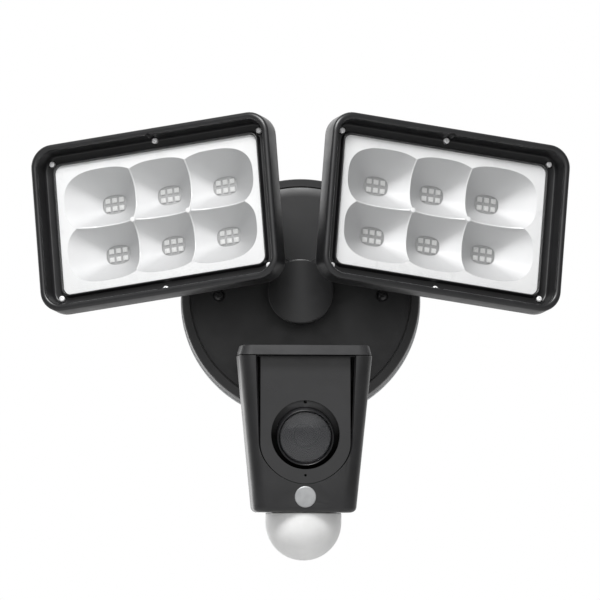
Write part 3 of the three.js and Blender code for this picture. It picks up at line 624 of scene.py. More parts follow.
# The frame screws' near-white, mostly non-metallic tone is a painted glint, standing for the shine of their
# heads.
screw_painted_glint = patchy("zinc_with_painted_glint", (0.86, 0.86, 0.87), grey(0.95), (1.2, 3), ((0.6, 3), 0.34, 0.5),
                    ((0.3, 3), 0.006, 0.4), Metallic=0.2)
zinc = zinc_plate()
gasket_foam = foam()
seal_rubber = rubber("seal_rubber", grey(0.02), grey(0.035))
button_rubber = rubber("button_rubber", grey(0.035), grey(0.06))
board_green = circuit_board()
board_grey = patchy("grey_solder_mask", grey(0.24), grey(0.28), (6, 4), ((2, 3), 0.4, 0.55),
                    ((0.5, 3), 0.01, 0.5))
led_grey = patchy("led_phosphor", (0.50, 0.50, 0.495), (0.57, 0.57, 0.565), (0.5, 2),
                  ((0.8,), 0.3, 0.5), ((0.3, 2), 0.02, 0.4))
reflector_white = patchy("bright_reflector", (0.67, 0.67, 0.675), grey(0.71), (25, 3),
                         ((9, 3), 0.26, 0.32), ((0.5, 2), 0.004, 0.3),
                         Specular_IOR_Level=0.6, Coat_Weight=0.4, Coat_Roughness=0.15)
bowl_silver = silvered()
lamp_glass = patchy("lamp_glass", (0.92, 0.96, 0.95), (0.97, 0.98, 0.98), (18, 5, 0.65),
                    ((18, 5, 0.65), 0.03, 0.09), ((30, 2), 0.02, 0.15),
                    Alpha=0.05, IOR=1.5, Specular_IOR_Level=0.5)
lens_glass = coated_lens("lens_glass", 0.55)
lens_coating = coated_lens("lens_coating", 1.0)
dome_white = patchy("frosted_plastic", (0.73, 0.73, 0.725), (0.79, 0.79, 0.785), (11, 4, 0.6),
                    ((4, 3), 0.34, 0.46), ((0.5, 3), 0.012, 0.5),
                    Subsurface_Weight=0.25, Subsurface_Radius=grey(0.006), Subsurface_Scale=1.0)
badge_grey = patchy("satin_badge", (0.31, 0.315, 0.32), (0.37, 0.375, 0.38), (4, 4),
                    ((0.4, 4, 0.6), 0.35, 0.5), ((0.4, 4, 0.6), 0.008, 0.5), Metallic=0.4)
terminal_cream = patchy("cream_plastic", (0.66, 0.65, 0.60), (0.76, 0.75, 0.70), (8, 4),
                        ((3, 4), 0.3, 0.45), ((0.5, 3), 0.012, 0.5))


# ---------- wall mount ----------

def make_canopy():
    """A slightly domed face, a fine groove, a bevelled rim and a straight side wall."""
    back = -GASKET_DEPTH - GAP
    face = CANOPY_R - CANOPY_BEVEL
    inside = CANOPY_FRONT + CANOPY_WALL
    inner = CANOPY_R - CANOPY_WALL
    shares = [i / 10 for i in range(11)]
    dome = [(CANOPY_HOLE + (face - 1.2 - CANOPY_HOLE) * t, CANOPY_FRONT - CANOPY_RISE * (1 - t ** 2))
            for t in shares]
    groove = [(face - 0.9, CANOPY_FRONT + 0.15), (face - 0.7, CANOPY_FRONT + 0.9),
              (face - 0.35, CANOPY_FRONT + 0.9), (face - 0.1, CANOPY_FRONT + 0.1)]
    rim = profile_of([(face + 0.25, CANOPY_FRONT + 0.1), (CANOPY_R, CANOPY_FRONT + 3.6), (CANOPY_R, back),
                      (inner, back), (inner, inside + 2), (CANOPY_HOLE, inside)], 1.2, 4, False)
    shell = turned(dome + groove + rim, 144, closed=True)
    places = [(side * BOX_SCREW_X, 0, BOX_SCREW_Z) for side in (-1, 1)]
    holes = [shifted(drum(2.6, -30, 0, 0.1, 24), *place) for place in places]
    wells = [shifted(drum(3.6, -30, CANOPY_FRONT + 1.1, 0.1, 32), *place) for place in places]
    cut = combine("DIFFERENCE", shell, together(*holes), together(*wells))
    piece("canopy_cover", cut, "wall_mount", ["canopy"], canopy_black)


def make_gasket():
    seal = tube_ring(CANOPY_R + 0.5, CANOPY_R - 5.5, -GASKET_DEPTH, 0, 0.7, 144)
    piece("gasket_ring", seal, "wall_mount", ["wall_gasket"], gasket_foam)


def swivel_direction(side):
    return Vector((-side * SWIVEL_LEFT.x, 0, SWIVEL_LEFT.z))


def swivel_line(side, distance):
    return SWIVEL_CENTRE + swivel_direction(side) * distance


def make_hub():
    back = CANOPY_FRONT - CANOPY_RISE - GAP
    post = tube_ring(POST_R, POST_BORE, HUB_FRONT, back, 0.5, 96)
    lid = drum(POST_BORE + 0.5, HUB_FRONT + 0.6, HUB_FRONT + 3, 0.2, 64)
    barrel = profile_of([(0, SOCKET_START), (SOCKET_R, SOCKET_START), (SOCKET_R, SOCKET_END),
                         (BORE_R, SOCKET_END)], 0.6, 4, False)
    socket = turned([*barrel, (BORE_R, BORE_START)], 48)
    bore = drum(BORE_R, BORE_START, SOCKET_END + 5, 0.1, 48)
    sockets = [aim(socket, swivel_direction(side), SWIVEL_CENTRE) for side in (-1, 1)]
    bores = [aim(bore, swivel_direction(side), SWIVEL_CENTRE) for side in (-1, 1)]
    behind = block(0, back + BIG / 4, 0, BIG, BIG / 2, BIG)
    hub = combine("DIFFERENCE", combine("UNION", post, lid, *sockets), behind, *bores)
    piece("hub_body", soften(hub, 0.35, 40), "wall_mount", ["arm_hub"], shell_black)


def make_hub_cap():
    """The cover on the hub, curved from side to side, with a lobe over each socket."""
    base = HUB_FRONT - GAP
    crown = CAP_FRONT - CROWN
    disc = drum(HUB_R, crown - 2, base + 2, 0.1, 120)
    curve = aim(drum(COVER_CURVE, -30, 30, 0.1, 240), UP, (0, crown + COVER_CURVE, 0))
    lobe = lathe([(0, 0), (LOBE_R, 0), (LOBE_R, LOBE_END), (0, LOBE_END)], 1.8, 64, 5)
    root = (SWIVEL_CENTRE.x, LOBE_Y, SWIVEL_CENTRE.z)
    lobes = [aim(lobe, swivel_direction(side), root) for side in (-1, 1)]
    cover = combine("UNION", combine("INTERSECT", disc, curve), *lobes)
    cover = combine("DIFFERENCE", cover, block(0, base + BIG / 4, 0, BIG, BIG / 2, BIG, 0.01))
    piece("hub_cover", melted(cover, 0.4, 9), "wall_mount", ["hub_cap"], shell_black)


def make_collars():
    nut = tube_ring(COLLAR_R, BORE_R, 0, COLLAR_LENGTH, 0.5, 60)
    groove = block(COLLAR_R + 0.05, COLLAR_LENGTH / 2, 0, 0.9, COLLAR_LENGTH - 1.6, 0.7, 0.03)
    grooves = [moved(groove, Matrix.Rotation(2 * math.pi * i / COLLAR_GRIPS, 4, "Y"))
               for i in range(COLLAR_GRIPS)]
    nut = combine("DIFFERENCE", nut, together(*grooves))
    for side, label in SIDES:
        turn = Vector((0, 1, 0)).rotation_difference(swivel_direction(side)).to_matrix().to_4x4()
        piece(f"collar_nut_{label}", nut, "wall_mount", [f"lock_collar_{label}"],
              trim_black, Matrix.Translation(swivel_line(side, SOCKET_END + GAP)) @ turn)


def make_canopy_screws():
    head = lathe([(0, 0), (1.6, 0), (2.9, 0.9), (2.9, 2), (2, 2), (2, 23), (0, 23)], 0.5, 36)
    slots = [moved(block(0, 0.2, 0, *size, 0.1), Matrix.Rotation(0.5, 4, "Y"))
             for size in ((3.2, 1.6, 0.6), (0.6, 1.6, 3.2))]
    screw = combine("DIFFERENCE", head, *slots)
    for side, label in SIDES:
        piece(f"cover_screw_{label}", screw, "wall_mount", [f"canopy_screw_{label}"],
              trim_black, Matrix.Translation((side * BOX_SCREW_X, CANOPY_FRONT - 1.2, BOX_SCREW_Z)))


make_canopy()
make_gasket()
make_hub()
make_hub_cap()
make_collars()
make_canopy_screws()


# ---------- lamps ----------
# Made about the middle of the glass, facing -Y. The right lamp is the left one mirrored.

def turn_about(degrees, axis):
    return Matrix.Rotation(math.radians(degrees), 4, axis)


def lamp_matrix():
    return (Matrix.Translation(LAMP_CENTRE) @ turn_about(LAMP_YAW, "Z") @ turn_about(LAMP_PITCH, "X")
            @ turn_about(LAMP_ROLL, "Y"))


def lamp_ring(inset, y, steps=10):
    corner = LAMP_CORNER - inset * 0.75
    return ring(rounded_rectangle(LAMP_W - 2 * inset, LAMP_H - 2 * inset, corner, steps), y)


def at_screws(shape):
    return together(*[shifted(shape, x, 0, z) for x, z in SCREW_PLACES])


def bezel_shape():
    """From the skirt over the lip, down into the screw channel and up to the window's edge."""
    profile = [(0, SKIRT), (0, 1 - LIP), (1.2, -LIP), (2.8, -LIP), (3.6, 1 - LIP), (4, CHANNEL - 1.6),
               (5, CHANNEL), (8.8, CHANNEL), (9.4, 0), (FRAME, -0.2), (FRAME, BEZEL_BACK),
               (BEZEL_WALL, BEZEL_BACK), (BEZEL_WALL, SKIRT)]
    radii = [0.3, 0.9, 0.9, 0.7, 0.9, 0.9, 0.6, 0.4, 0.35, 0.3, 0.3, 0.3, 0.2]
    frame_shape = loft([lamp_ring(*p) for p in fillet(profile, radii)], closed=True)
    wells = at_screws(drum(2.3, -LIP - 1, CHANNEL + FRAME_SCREW_WELL, 0.1, 32))
    holes = at_screws(drum(1.3, 0, BEZEL_BACK + 1, 0.1, 20))
    return combine("DIFFERENCE", frame_shape, wells, holes)


def bowl(column, row):
    """The hollow of one reflector cell, centred on its LEDs. The bowls run into each other."""
    rings = []
    angles = [2 * math.pi * (i + 0.5) / 72 for i in range(72)]
    for share in [1.04, 1.0, 0.93, 0.86, 0.79, 0.72, 0.65, 0.58, 0.51, 0.44, 0.37, 0.31, 0.26]:
        y = REFLECTOR_FRONT + CELL_DEEPEST * (1 - share ** CELL_FLARE)
        outline = []
        for angle in angles:
            c, d = math.cos(angle), math.sin(angle)
            round_to = abs(c) ** CELL_SQUARENESS + abs(d) ** CELL_SQUARENESS
            reach = share * round_to ** (-1 / CELL_SQUARENESS)
            outline.append((column * LED_X + CELL_HALF_X * c * reach, row * LED_Z + CELL_HALF_Z * d * reach))
        rings.append(ring(outline, y))
    return loft(rings)


def reflector_shape():
    plate = loft([
        ring(rounded_rectangle(WINDOW_W - 2 * GAP, WINDOW_H - 2 * GAP, WINDOW_CORNER), REFLECTOR_FRONT),
        ring(rounded_rectangle(WINDOW_W - 4, WINDOW_H - 4, WINDOW_CORNER),
             REFLECTOR_FRONT + REFLECTOR_DEPTH - GAP)])
    bowls = [bowl(column, row) for column, row in CELLS]
    mesh = soften(combine("DIFFERENCE", plate, *bowls), 0.3, 25)
    # Painted shade: the feet of the bowls nearest the LED board take the board's darker grey.
    for face in mesh.polygons:
        depth = face.center.y - REFLECTOR_FRONT
        face.material_index = 2 if depth > REFLECTOR_DEPTH - SHADED_FOOT else 1 if depth > 0.45 else 0
    return mesh


def ridge_shape():
    """The bright rounded crests where two bowls meet."""
    def crest(across, along):
        total = (across[0] / across[1]) ** CELL_SQUARENESS + (abs(along[0]) / along[1]) ** CELL_SQUARENESS
        depth = CELL_DEEPEST * (1 - total ** (CELL_FLARE / CELL_SQUARENESS))
        return REFLECTOR_FRONT + max(depth, 0) + 0.1
    middle_x, middle_z = (LED_X / 2, CELL_HALF_X), (LED_Z / 2, CELL_HALF_Z)
    steps = [i / 12 for i in range(-12, 13)]
    upright = [(z, crest(middle_x, (z, CELL_HALF_Z))) for z in [step * LED_Z / 2 for step in steps]]
    level = [(x, crest(middle_z, (x, CELL_HALF_X))) for x in [step * LED_X / 2 for step in steps]]
    paths = [[Vector((half_x * LED_X, y, row * LED_Z + z)) for z, y in upright]
             for half_x in (-0.5, 0.5) for row in (-0.5, 0.5)]
    paths += [[Vector((column * LED_X + x, y, 0)) for x, y in level] for column in (-1, 0, 1)]
    depth = crest(middle_x, middle_z)
    knot = drum(STAR_R, depth - 0.9, depth + 1.5, 0.7, 24)
    knots = [shifted(knot, side * LED_X / 2, 0, 0) for side in (-1, 1)]
    return together(*[sweep(path, RIDGE, 10) for path in paths], *knots)


def led_shape():
    front = REFLECTOR_FRONT + REFLECTOR_DEPTH
    return slab(WINDOW_W - 6, WINDOW_H - 6, 3, front, front + BOARD, 0.15)


def led_chips():
    """Six chips in each bowl, each with a lens on its base."""
    front = REFLECTOR_FRONT + REFLECTOR_DEPTH
    base = block(0, front - 0.33, 0, CHIP, 0.64, CHIP, 0.12)
    lens = slab(CHIP - 0.6, CHIP - 0.6, 0.5, front - 0.72, front - 0.5, 0.05, 3)
    places = [(column * LED_X + i * CHIP_X, 0, row * LED_Z + k * CHIP_Z)
              for column, row in CELLS for i in (-1, 0, 1) for k in (-0.5, 0.5)]
    return [together(*[shifted(shape, *place) for place in places]) for shape in (base, lens)]


def housing_shape():
    """A hollow back with cooling fins, and two ears for the knuckle bolt."""
    front = SKIRT + GAP
    outline = [(3, front), (0, front), (0.9, front + 1.4), (9.5, HOUSING_BACK - 4), (13.5, HOUSING_BACK),
               (18, HOUSING_BACK)]
    outer = loft([lamp_ring(*p) for p in fillet(outline, [0, 0.3, 0.8, 2.2, 1.4, 0], 4, False)])
    ledge = BEZEL_BACK + 1.4 + GAP
    hollow = [(3.5, front - 1), (3.5, ledge), (5.6, ledge + 0.3), (8.5, 16), (12.4, HOUSING_BACK - 3)]
    inner = loft([lamp_ring(*p, 8) for p in hollow])
    fins = [block(i * FIN_STEP, HOUSING_BACK + 1.5, 0, FIN_W, 7, FIN_H, 0.5)
            for i in range(-5, 6) if abs(i) > 1]
    ears = []
    for s in (-1, 1):
        z = KNUCKLE_Z + s * (EYE_HALF + 2.9)
        ears.append(aim(drum(EYE_R, -2.5, 2.5, 0.5), UP, (0, KNUCKLE_Y, z)))
        ears.append(block(0, (KNUCKLE_Y + HOUSING_BACK) / 2 - 1, z, EYE_R * 2,
                          KNUCKLE_Y - HOUSING_BACK + 2, 5, 0.1))
    pin_hole = aim(drum(BOLT_HOLE_R, -18, 18, 0.1, 32), UP, (0, KNUCKLE_Y, KNUCKLE_Z))
    shell = combine("UNION", combine("DIFFERENCE", outer, inner), together(*fins), *ears)
    return combine("DIFFERENCE", shell, pin_hole)


def screw_shape():
    tip = FRAME_SCREW_HEAD + FRAME_SCREW_LENGTH
    head = lathe([(0, 0.05), (0.8, 0.05), (FRAME_SCREW_R, 0.45), (FRAME_SCREW_R, FRAME_SCREW_HEAD),
                  (0.9, FRAME_SCREW_HEAD), (0.9, tip), (0, tip)], 0.25, 36)
    slots = [block(0, 0.1, 0, *size, 0.03) for size in ((1.9, 0.9, 0.5), (0.5, 0.9, 1.9))]
    return combine("DIFFERENCE", head, *slots)


def knuckle_bolt_shape():
    """A socket-headed bolt with a hexagon nut, whose corners are turned down by a dome."""
    half = EYE_HALF + 5.4 + GAP
    end = half + 3.9
    bolt = lathe([(0, -half - 3), (3.6, -half - 3), (5, -half - 2.2), (5, -half), (BOLT_R, -half),
                  (BOLT_R, half + 2), (0, half + 2)], 0.5, 40)
    socket = turned([(2.2, -half - 4), (2.2, -half - 1.2)], 6)
    hexagon = turned([(4.6, half - 0.1), (4.6, end)], 6)
    dome = lathe([(0, half - 0.2), (5.2, half - 0.2), (5.2, half + 2.9), (3.9, end), (0, end)], 0.4, 40)
    nut = combine("INTERSECT", hexagon, dome)
    return combine("DIFFERENCE", combine("UNION", bolt, nut), socket)


def arm_shape():
    """The left arm: a journal in the hub's socket, a bent tube and the knuckle's eye."""
    matrix = lamp_matrix()
    knuckle = matrix @ Vector((0, KNUCKLE_Y, KNUCKLE_Z))
    pin_axis = (matrix.to_3x3() @ Vector(UP)).normalized()
    reach = (knuckle - SWIVEL_CENTRE).normalized()
    approach = (reach - pin_axis * reach.dot(pin_axis)).normalized()
    collar_end = SOCKET_END + COLLAR_LENGTH
    tube = sweep(bezier(swivel_line(-1, collar_end - 8), swivel_line(-1, collar_end + 6),
                        knuckle - approach * 18, knuckle - approach * 2, 28), ARM_R, 40)
    direction = swivel_direction(-1)
    journal = aim(drum(JOURNAL_R, JOURNAL_START, collar_end + 1.5, 0.5), direction, SWIVEL_CENTRE)
    eye = aim(drum(EYE_R, -EYE_HALF, EYE_HALF, 0.6, 56), pin_axis, knuckle)
    hole = aim(drum(BOLT_HOLE_R, -18, 18, 0.1, 32), pin_axis, knuckle)
    wireway = aim(drum(WIRE_R, JOURNAL_START - 3, SOCKET_END + 2, 0.1, 24), direction, SWIVEL_CENTRE)
    return combine("DIFFERENCE", combine("UNION", tube, journal, eye), hole, wireway)


def make_lamps():
    bases, lenses = led_chips()
    glass = slab(WINDOW_W - 2 * GAP, WINDOW_H - 2 * GAP, WINDOW_CORNER, 0.2, 1.8, 0.2)
    reflector_looks = [reflector_white, bowl_silver, board_grey]
    # Name, shape, CAD node that it stands for, slot and look.
    parts = [("bezel_frame", bezel_shape(), "bezel", "lamp_paint", lamp_black),
             ("housing_shell", housing_shape(), "housing", "lamp_paint", lamp_black),
             ("glass_pane", glass, "lamp_glass", "lamp_glass", lamp_glass),
             ("reflector_cells", reflector_shape(), "reflector", "reflector", reflector_looks),
             ("reflector_crests", ridge_shape(), None, "reflector", reflector_white),
             ("led_plate", led_shape(), "led_board", "led_board", board_grey),
             ("led_bases", bases, None, "led_board", led_grey),
             ("led_lenses", lenses, None, "led_board", led_grey)]
    screw, bolt, arm = screw_shape(), knuckle_bolt_shape(), arm_shape()
    for label, mirror in (("left", Matrix.Identity(4)), ("right", MIRROR)):
        body = f"{label}_lamp"
        place = mirror @ lamp_matrix()
        for name, shape, node, slot, look in parts:
            piece(f"{name}_{label}", shape, body, [f"{node}_{label}"] if node else [], look, place)
        upright = place @ Matrix.Translation((0, KNUCKLE_Y, KNUCKLE_Z)) @ turn_about(90, "X")
        piece(f"knuckle_screw_{label}", bolt, body, [f"knuckle_bolt_{label}"], screw_steel,
              upright)
        for i, (x, z) in enumerate(SCREW_PLACES, 1):
            seat = Matrix.Translation((x, CHANNEL + FRAME_SCREW_WELL - FRAME_SCREW_HEAD, z))
            piece(f"frame_screw_{i}_{label}", screw, body, [f"bezel_screw_{i}_{label}"],
                  screw_painted_glint, place @ seat @ Matrix.Rotation(0.7 * i, 4, "Y"))
        piece(f"lamp_bar_{label}", arm, f"{label}_arm", [f"lamp_arm_{label}"],
              shell_black, mirror)


make_lamps()


# ---------- camera ----------
# Made upright about its tilt axis, facing -Y.

def arm_matrix():
    return (Matrix.Translation((0, PAN_Y, 0)) @ turn_about(CAMERA_YAW, "Z")
            @ Matrix.Translation((0, -PAN_Y, 0)))


def head_matrix():
    return arm_matrix() @ Matrix.Translation((0, TILT_Y, TILT_Z)) @ turn_about(CAMERA_PITCH, "X")


def lens_matrix():
    return Matrix.Translation((0, CAMERA_FRONT + LENS_SINK, LENS_Z)) @ turn_about(LENS_DROP, "X")


def head_piece(name, shape, replaced, look, place=Matrix.Identity(4)):
    piece(name, shape, "camera_head", replaced, look, head_matrix() @ place)


def body_width(z):
    t = (z - (CAMERA_TOP - CAP_H)) / (CAMERA_BOTTOM - (CAMERA_TOP - CAP_H))
    return CAMERA_TOP_W + (CAMERA_BOTTOM_W - CAMERA_TOP_W) * t


def level(z, width, front, back, radius):
    """A rounded outline that lies flat at a height."""
    middle = (front + back) / 2
    return [Vector((x, y + middle, z)) for x, y in rounded_rectangle(width, back - front, radius, 10)]


def body_levels(inset, top, bottom):
    """The tapering body, rounded at its lower edge."""
    def section(z, extra=0.0):
        cut = inset + extra
        return level(z, body_width(z) - 2 * cut, CAMERA_FRONT + cut, CAMERA_BACK - cut,
                     max(BODY_CORNER - cut, 2))
    tall = [section(top, 0.3), section(top - 0.3)]
    tall += [section(top + (bottom + 2.6 - top) * i / 6) for i in range(1, 7)]
    tall += [section(bottom + rise, cut) for cut, rise in ((0.25, 1.6), (0.8, 0.85), (1.5, 0.35), (2.4, 0))]
    return loft(tall)


def face_floor(z):
    """Where the sunk face lies: deep at the top and nearly flush at its foot."""
    t = (z - BODY_TOP) / (FACE_BOTTOM - BODY_TOP)
    return CAMERA_FRONT + FACE_DEPTH + (0.4 - FACE_DEPTH) * t


def face_outline(inset, draft=0.0):
    """The U of the sunk face. With a draft it is the foot of the recess, whose walls lean in."""
    top = BODY_TOP + 8
    half = FACE_TOP_W / 2 - inset
    low = FACE_BOTTOM + inset
    curve = bezier(Vector((half - 2, -25)), Vector((half - 2.6, -36)), Vector((half - 15, low)),
                   Vector((0, low)), 18)
    outline = [(half, top), (-half, top)]
    outline += [(-p.x, p.y) for p in curve[:-1]]
    outline += [(p.x, p.y) for p in reversed(curve)]
    return [(x * (1 - draft * (face_floor(z) - CAMERA_FRONT) / half), z) for x, z in outline]


def on_face(outline, offset):
    return [Vector((x, face_floor(z) + offset, z)) for x, z in outline]


def dome_place(shape):
    return moved(shape, Matrix.Translation((0, DOME_Y, CAMERA_BOTTOM)) @ turn_about(90, "X"))


def seam_half(front):
    """A block that holds the half of the body in front of the seam or behind it."""
    middle = CAMERA_SEAM - 50 if front else CAMERA_SEAM + GAP + 50
    return shifted(slab(120, 160, 1, middle - 50, middle + 50, 0.01, 2), 0, 0, -20)


def make_shells():
    whole = body_levels(0, BODY_TOP, CAMERA_BOTTOM)
    hollow = body_levels(SHELL, BODY_TOP + 5, CAMERA_BOTTOM + SHELL)
    shell = combine("DIFFERENCE", whole, hollow)
    dome_hole = dome_place(drum(DOME_HOLE_R, -8, 8, 0.1, 72))
    foot, brim = face_outline(0, FACE_DRAFT), face_outline(0)
    window = loft([on_face(foot, 4), on_face(foot, 0), ring(brim, CAMERA_FRONT),
                   ring(brim, CAMERA_FRONT - 5)])
    badge_well = shifted(drum(BADGE_R + 0.25, CAMERA_FRONT - 2, CAMERA_FRONT + 0.6, 0.05, 56), 0, 0, BADGE_Z)
    front = combine("INTERSECT", shell, seam_half(True))
    front = combine("DIFFERENCE", front, window, dome_hole, badge_well)
    head_piece("camera_front_cover", soften(front, 0.35, 38), ["camera_front_shell"],
               shell_black)

    rear = combine("INTERSECT", shell, seam_half(False))
    pocket = shifted(slab(22, 34, 1.5, -10, 12, 0.2), 0, 0, NOTCH_Z)
    clip = loft([level(z, 70, CAMERA_FRONT, CAMERA_BACK, 8) for z in (BODY_TOP - 0.02, CAMERA_BOTTOM)])
    rear = combine("UNION", rear, combine("INTERSECT", pocket, clip))
    notch = shifted(slab(NOTCH_W, 30, 1, -9, 15, 0.2), 0, 0, NOTCH_Z)
    bore = aim(drum(PIN_HOLE_R, -16, 16, 0.1, 32), ACROSS)
    heads = [aim(drum(4, s * 15 - 4.8, s * 15 + 4.8, 0.1, 36), ACROSS) for s in (-1, 1)]
    button = shifted(drum(BUTTON_R + GAP, -4, 8, 0.05, 40), 0, 0, BUTTON_Z)
    rear = combine("DIFFERENCE", rear, notch, bore, *heads, dome_hole)
    rear = combine("DIFFERENCE", soften(rear, 0.35, 38), button)
    head_piece("camera_rear_cover", rear, ["camera_rear_shell"], shell_black)


def make_top_cap():
    """A lid with a wide bevel, which overhangs the body."""
    base = CAMERA_TOP - CAP_H

    def edge(z, width, front, back, radius):
        return level(z, width, CAMERA_FRONT + front, CAMERA_BACK - back, radius)
    outer = loft([edge(CAMERA_TOP, 66.5, 6, 4, 5), edge(CAMERA_TOP - 0.15, 67.9, 5.4, 3.5, 5.4),
                  edge(CAMERA_TOP - 0.6, 69.3, 5, 3.2, 6), edge(base + 0.7, 71.5, 1.4, 1.25, 7.6),
                  edge(base + 0.2, 71.75, 0.9, 1.05, 8), edge(base, 71.3, 1.1, 1.2, 7.8)])
    inner = loft([edge(CAMERA_TOP - 2.2, 62, 8, 6, 4), edge(base - 1, 66.5, 3.8, 4, 6)])
    cap = combine("DIFFERENCE", outer, inner, slab(NOTCH_W, 46, 1, 4, 20, 0.2))
    head_piece("camera_cap", cap, ["camera_top_cap"], cap_black_painted_light)


def face_plastic():
    """The panel's black, with painted shade: it falls to full black, with its reflection damped, in the well
    round the lens.
    """
    head = head_matrix()
    point = head @ Vector((0, face_floor(LENS_Z), LENS_Z)) * 0.001
    slope = face_floor(1) - face_floor(0)
    inward = (head.to_3x3() @ Vector((0, 1, -slope))).normalized()
    look = Look("panel_black")
    painted_well_shade = look.depth_behind(point, inward, CUP_DEPTH - 0.6)
    plain = look.mottle((22, 5, 0.6), (0.008, 0.008, 0.0085), (0.012, 0.012, 0.013))
    look.connect(Base_Color=look.blend(painted_well_shade, plain, grey(0.0008)),
                 Specular_IOR_Level=look.spread(painted_well_shade, 0.5, 0.05, 0, 1),
                 Roughness=look.spread(look.noise(9, 5, 0.65), 0.26, 0.38),
                 Normal=look.bump(look.noise(0.35, 3, 0.6), 0.006, 0.6))
    return look.material


def make_face():
    """The sunk panel, with a cup round the lens and two small holes."""
    outline = face_outline(GAP, FACE_DRAFT)
    plate = loft([on_face(outline, 0), on_face(outline, 2)])
    below = shifted(slab(120, 80, 0.5, -60, 0, 0.01, 2), 0, 0, BODY_TOP - 40 - 0.1)
    well = shifted(drum(WELL_R, -60, -20, 0.1, 96), 0, 0, LENS_Z + WELL_RISE)
    dots = [shifted(drum(r, -60, -20, 0.05, 24), 0, 0, z) for z, r in ((-2.4, 0.9), (-42.1, 0.7))]
    wall = turned([(WELL_R - 0.2, -1), (WELL_R + 1.2, -1), (WELL_R + 1.2, CUP_DEPTH), (12, CUP_DEPTH),
                   (12, CUP_DEPTH - CUP_FLOOR), (WELL_R - 0.2, CUP_DEPTH - CUP_FLOOR)], 96, closed=True)
    cup = combine("DIFFERENCE", moved(wall, Matrix.Translation((0, 0, WELL_RISE)) @ lens_matrix()),
                  moved(drum(BARREL_R + GAP, -5, 30, 0.1, 96), lens_matrix()))
    cup = combine("INTERSECT", cup, loft([on_face(outline, 1), on_face(outline, 40)]))
    plate = combine("UNION", combine("DIFFERENCE", plate, well), cup)
    plate = combine("DIFFERENCE", combine("INTERSECT", plate, below), *dots)
    head_piece("face_plate", soften(plate, 0.2, 40), ["face_panel"], face_plastic())


def make_lens():
    """The barrel, the domed cover, and behind it stepped baffles round an inner element."""
    barrel = turned(profile_of([(LENS_R + 0.3, -2.2), (LENS_R + 0.8, -3), (BARREL_R - 0.3, -2.8),
                                (BARREL_R, -2.2), (BARREL_R, 12), (10, 12), (7, 3), (LENS_R + 0.3, 1.6)],
                               0.4), 96, closed=True)
    glass = lathe([(0, -3.2), (3, -3.1), (6, -2.8), (8.4, -2.4), (10.5, -1.9), (12.2, -1.4), (LENS_R, -0.9),
                   (LENS_R, 1.2), (0, 1.2)], 0.6, 96)
    stair = [(12.4 - 1.2 * (i // 2), 1.7 + 0.3 * ((i + 1) // 2)) for i in range(8)]
    rings = turned(profile_of([(6.9, 2.9), (13.2, 1.45), (13.2, 1.7), *stair], 0.03), 72, closed=True)
    element = lathe([(0, 1.9), (2, 2.0), (4, 2.35), (5.6, 2.9), (6.2, 3.3), (6.2, 3.55), (0, 3.55)], 0.3, 64)
    head_piece("lens_ring", barrel, ["lens_barrel"], trim_black, lens_matrix())
    head_piece("lens_front", glass, ["lens_cover"], lens_glass, lens_matrix())
    head_piece("lens_baffle", rings, [], lens_coating, lens_matrix())
    head_piece("lens_element", element, [], lens_coating, lens_matrix())


def make_dome():
    def sphere(radius, count, top):
        turns = [i / count * math.pi / 2 for i in range(count + 1)]
        return [(radius * math.sin(t), -DOME_NECK - radius * math.cos(t)) for t in turns] + [(radius, top)]
    outer = sphere(DOME_R, 24, -GAP - 0.4) + [(DOME_R - 0.4, -GAP), (17.4, -GAP), (17.4, 6)]
    inner = [(15.6, 6), (15.6, -1.6)] + list(reversed(sphere(DOME_R - 1.6, 18, -2.6)))
    head_piece("motion_dome", dome_place(turned(outer + inner, 96)), ["pir_dome"], dome_white)


def make_badge():
    disc = lathe([(0, -0.55), (BADGE_R - 0.5, -0.5), (BADGE_R, -0.2), (BADGE_R, 0.3), (0, 0.3)], 0.2, 72)
    head_piece("plain_badge", disc, ["front_badge"], badge_grey,
               Matrix.Translation((0, CAMERA_FRONT, BADGE_Z)))


def make_button():
    flange = BUTTON_R + 1.4
    cap = lathe([(0, -3.6), (flange, -3.6), (flange, -2.6), (BUTTON_R, -2.6), (BUTTON_R, 0.4),
                 (BUTTON_R - 0.5, 0.9), (0, 0.75)], 0.35, 40)
    piece("reset_key", cap, "reset_button", ["reset_button"], button_rubber,
          head_matrix() @ Matrix.Translation((0, CAMERA_BACK, BUTTON_Z)))


def pin_hole(direction, origin):
    return aim(drum(PIN_HOLE_R, -14, 14, 0.05, 32), direction, origin)


def make_bracket():
    """The plate's fork, whose two ears hold the camera arm."""
    back = CANOPY_FRONT - GAP
    plate = shifted(drum(BRACKET_R, back - 3.4, back, 0.6, 72), 0, 0, BRACKET_Z)
    ears = []
    for s in (-1, 1):
        z = BRACKET_Z + s * EAR_Z
        ears.append(aim(drum(EAR_R, -EAR_HALF, EAR_HALF, 0.5), UP, (0, PAN_Y, z)))
        ears.append(block(0, (PAN_Y + back - 1) / 2, z, 2 * EAR_R, back - 1 - PAN_Y, 2 * EAR_HALF, 0.2))
    bracket = combine("DIFFERENCE", combine("UNION", plate, *ears), pin_hole(UP, (0, PAN_Y, BRACKET_Z)))
    piece("bracket_fork", bracket, "wall_mount", ["camera_bracket"], shell_black)


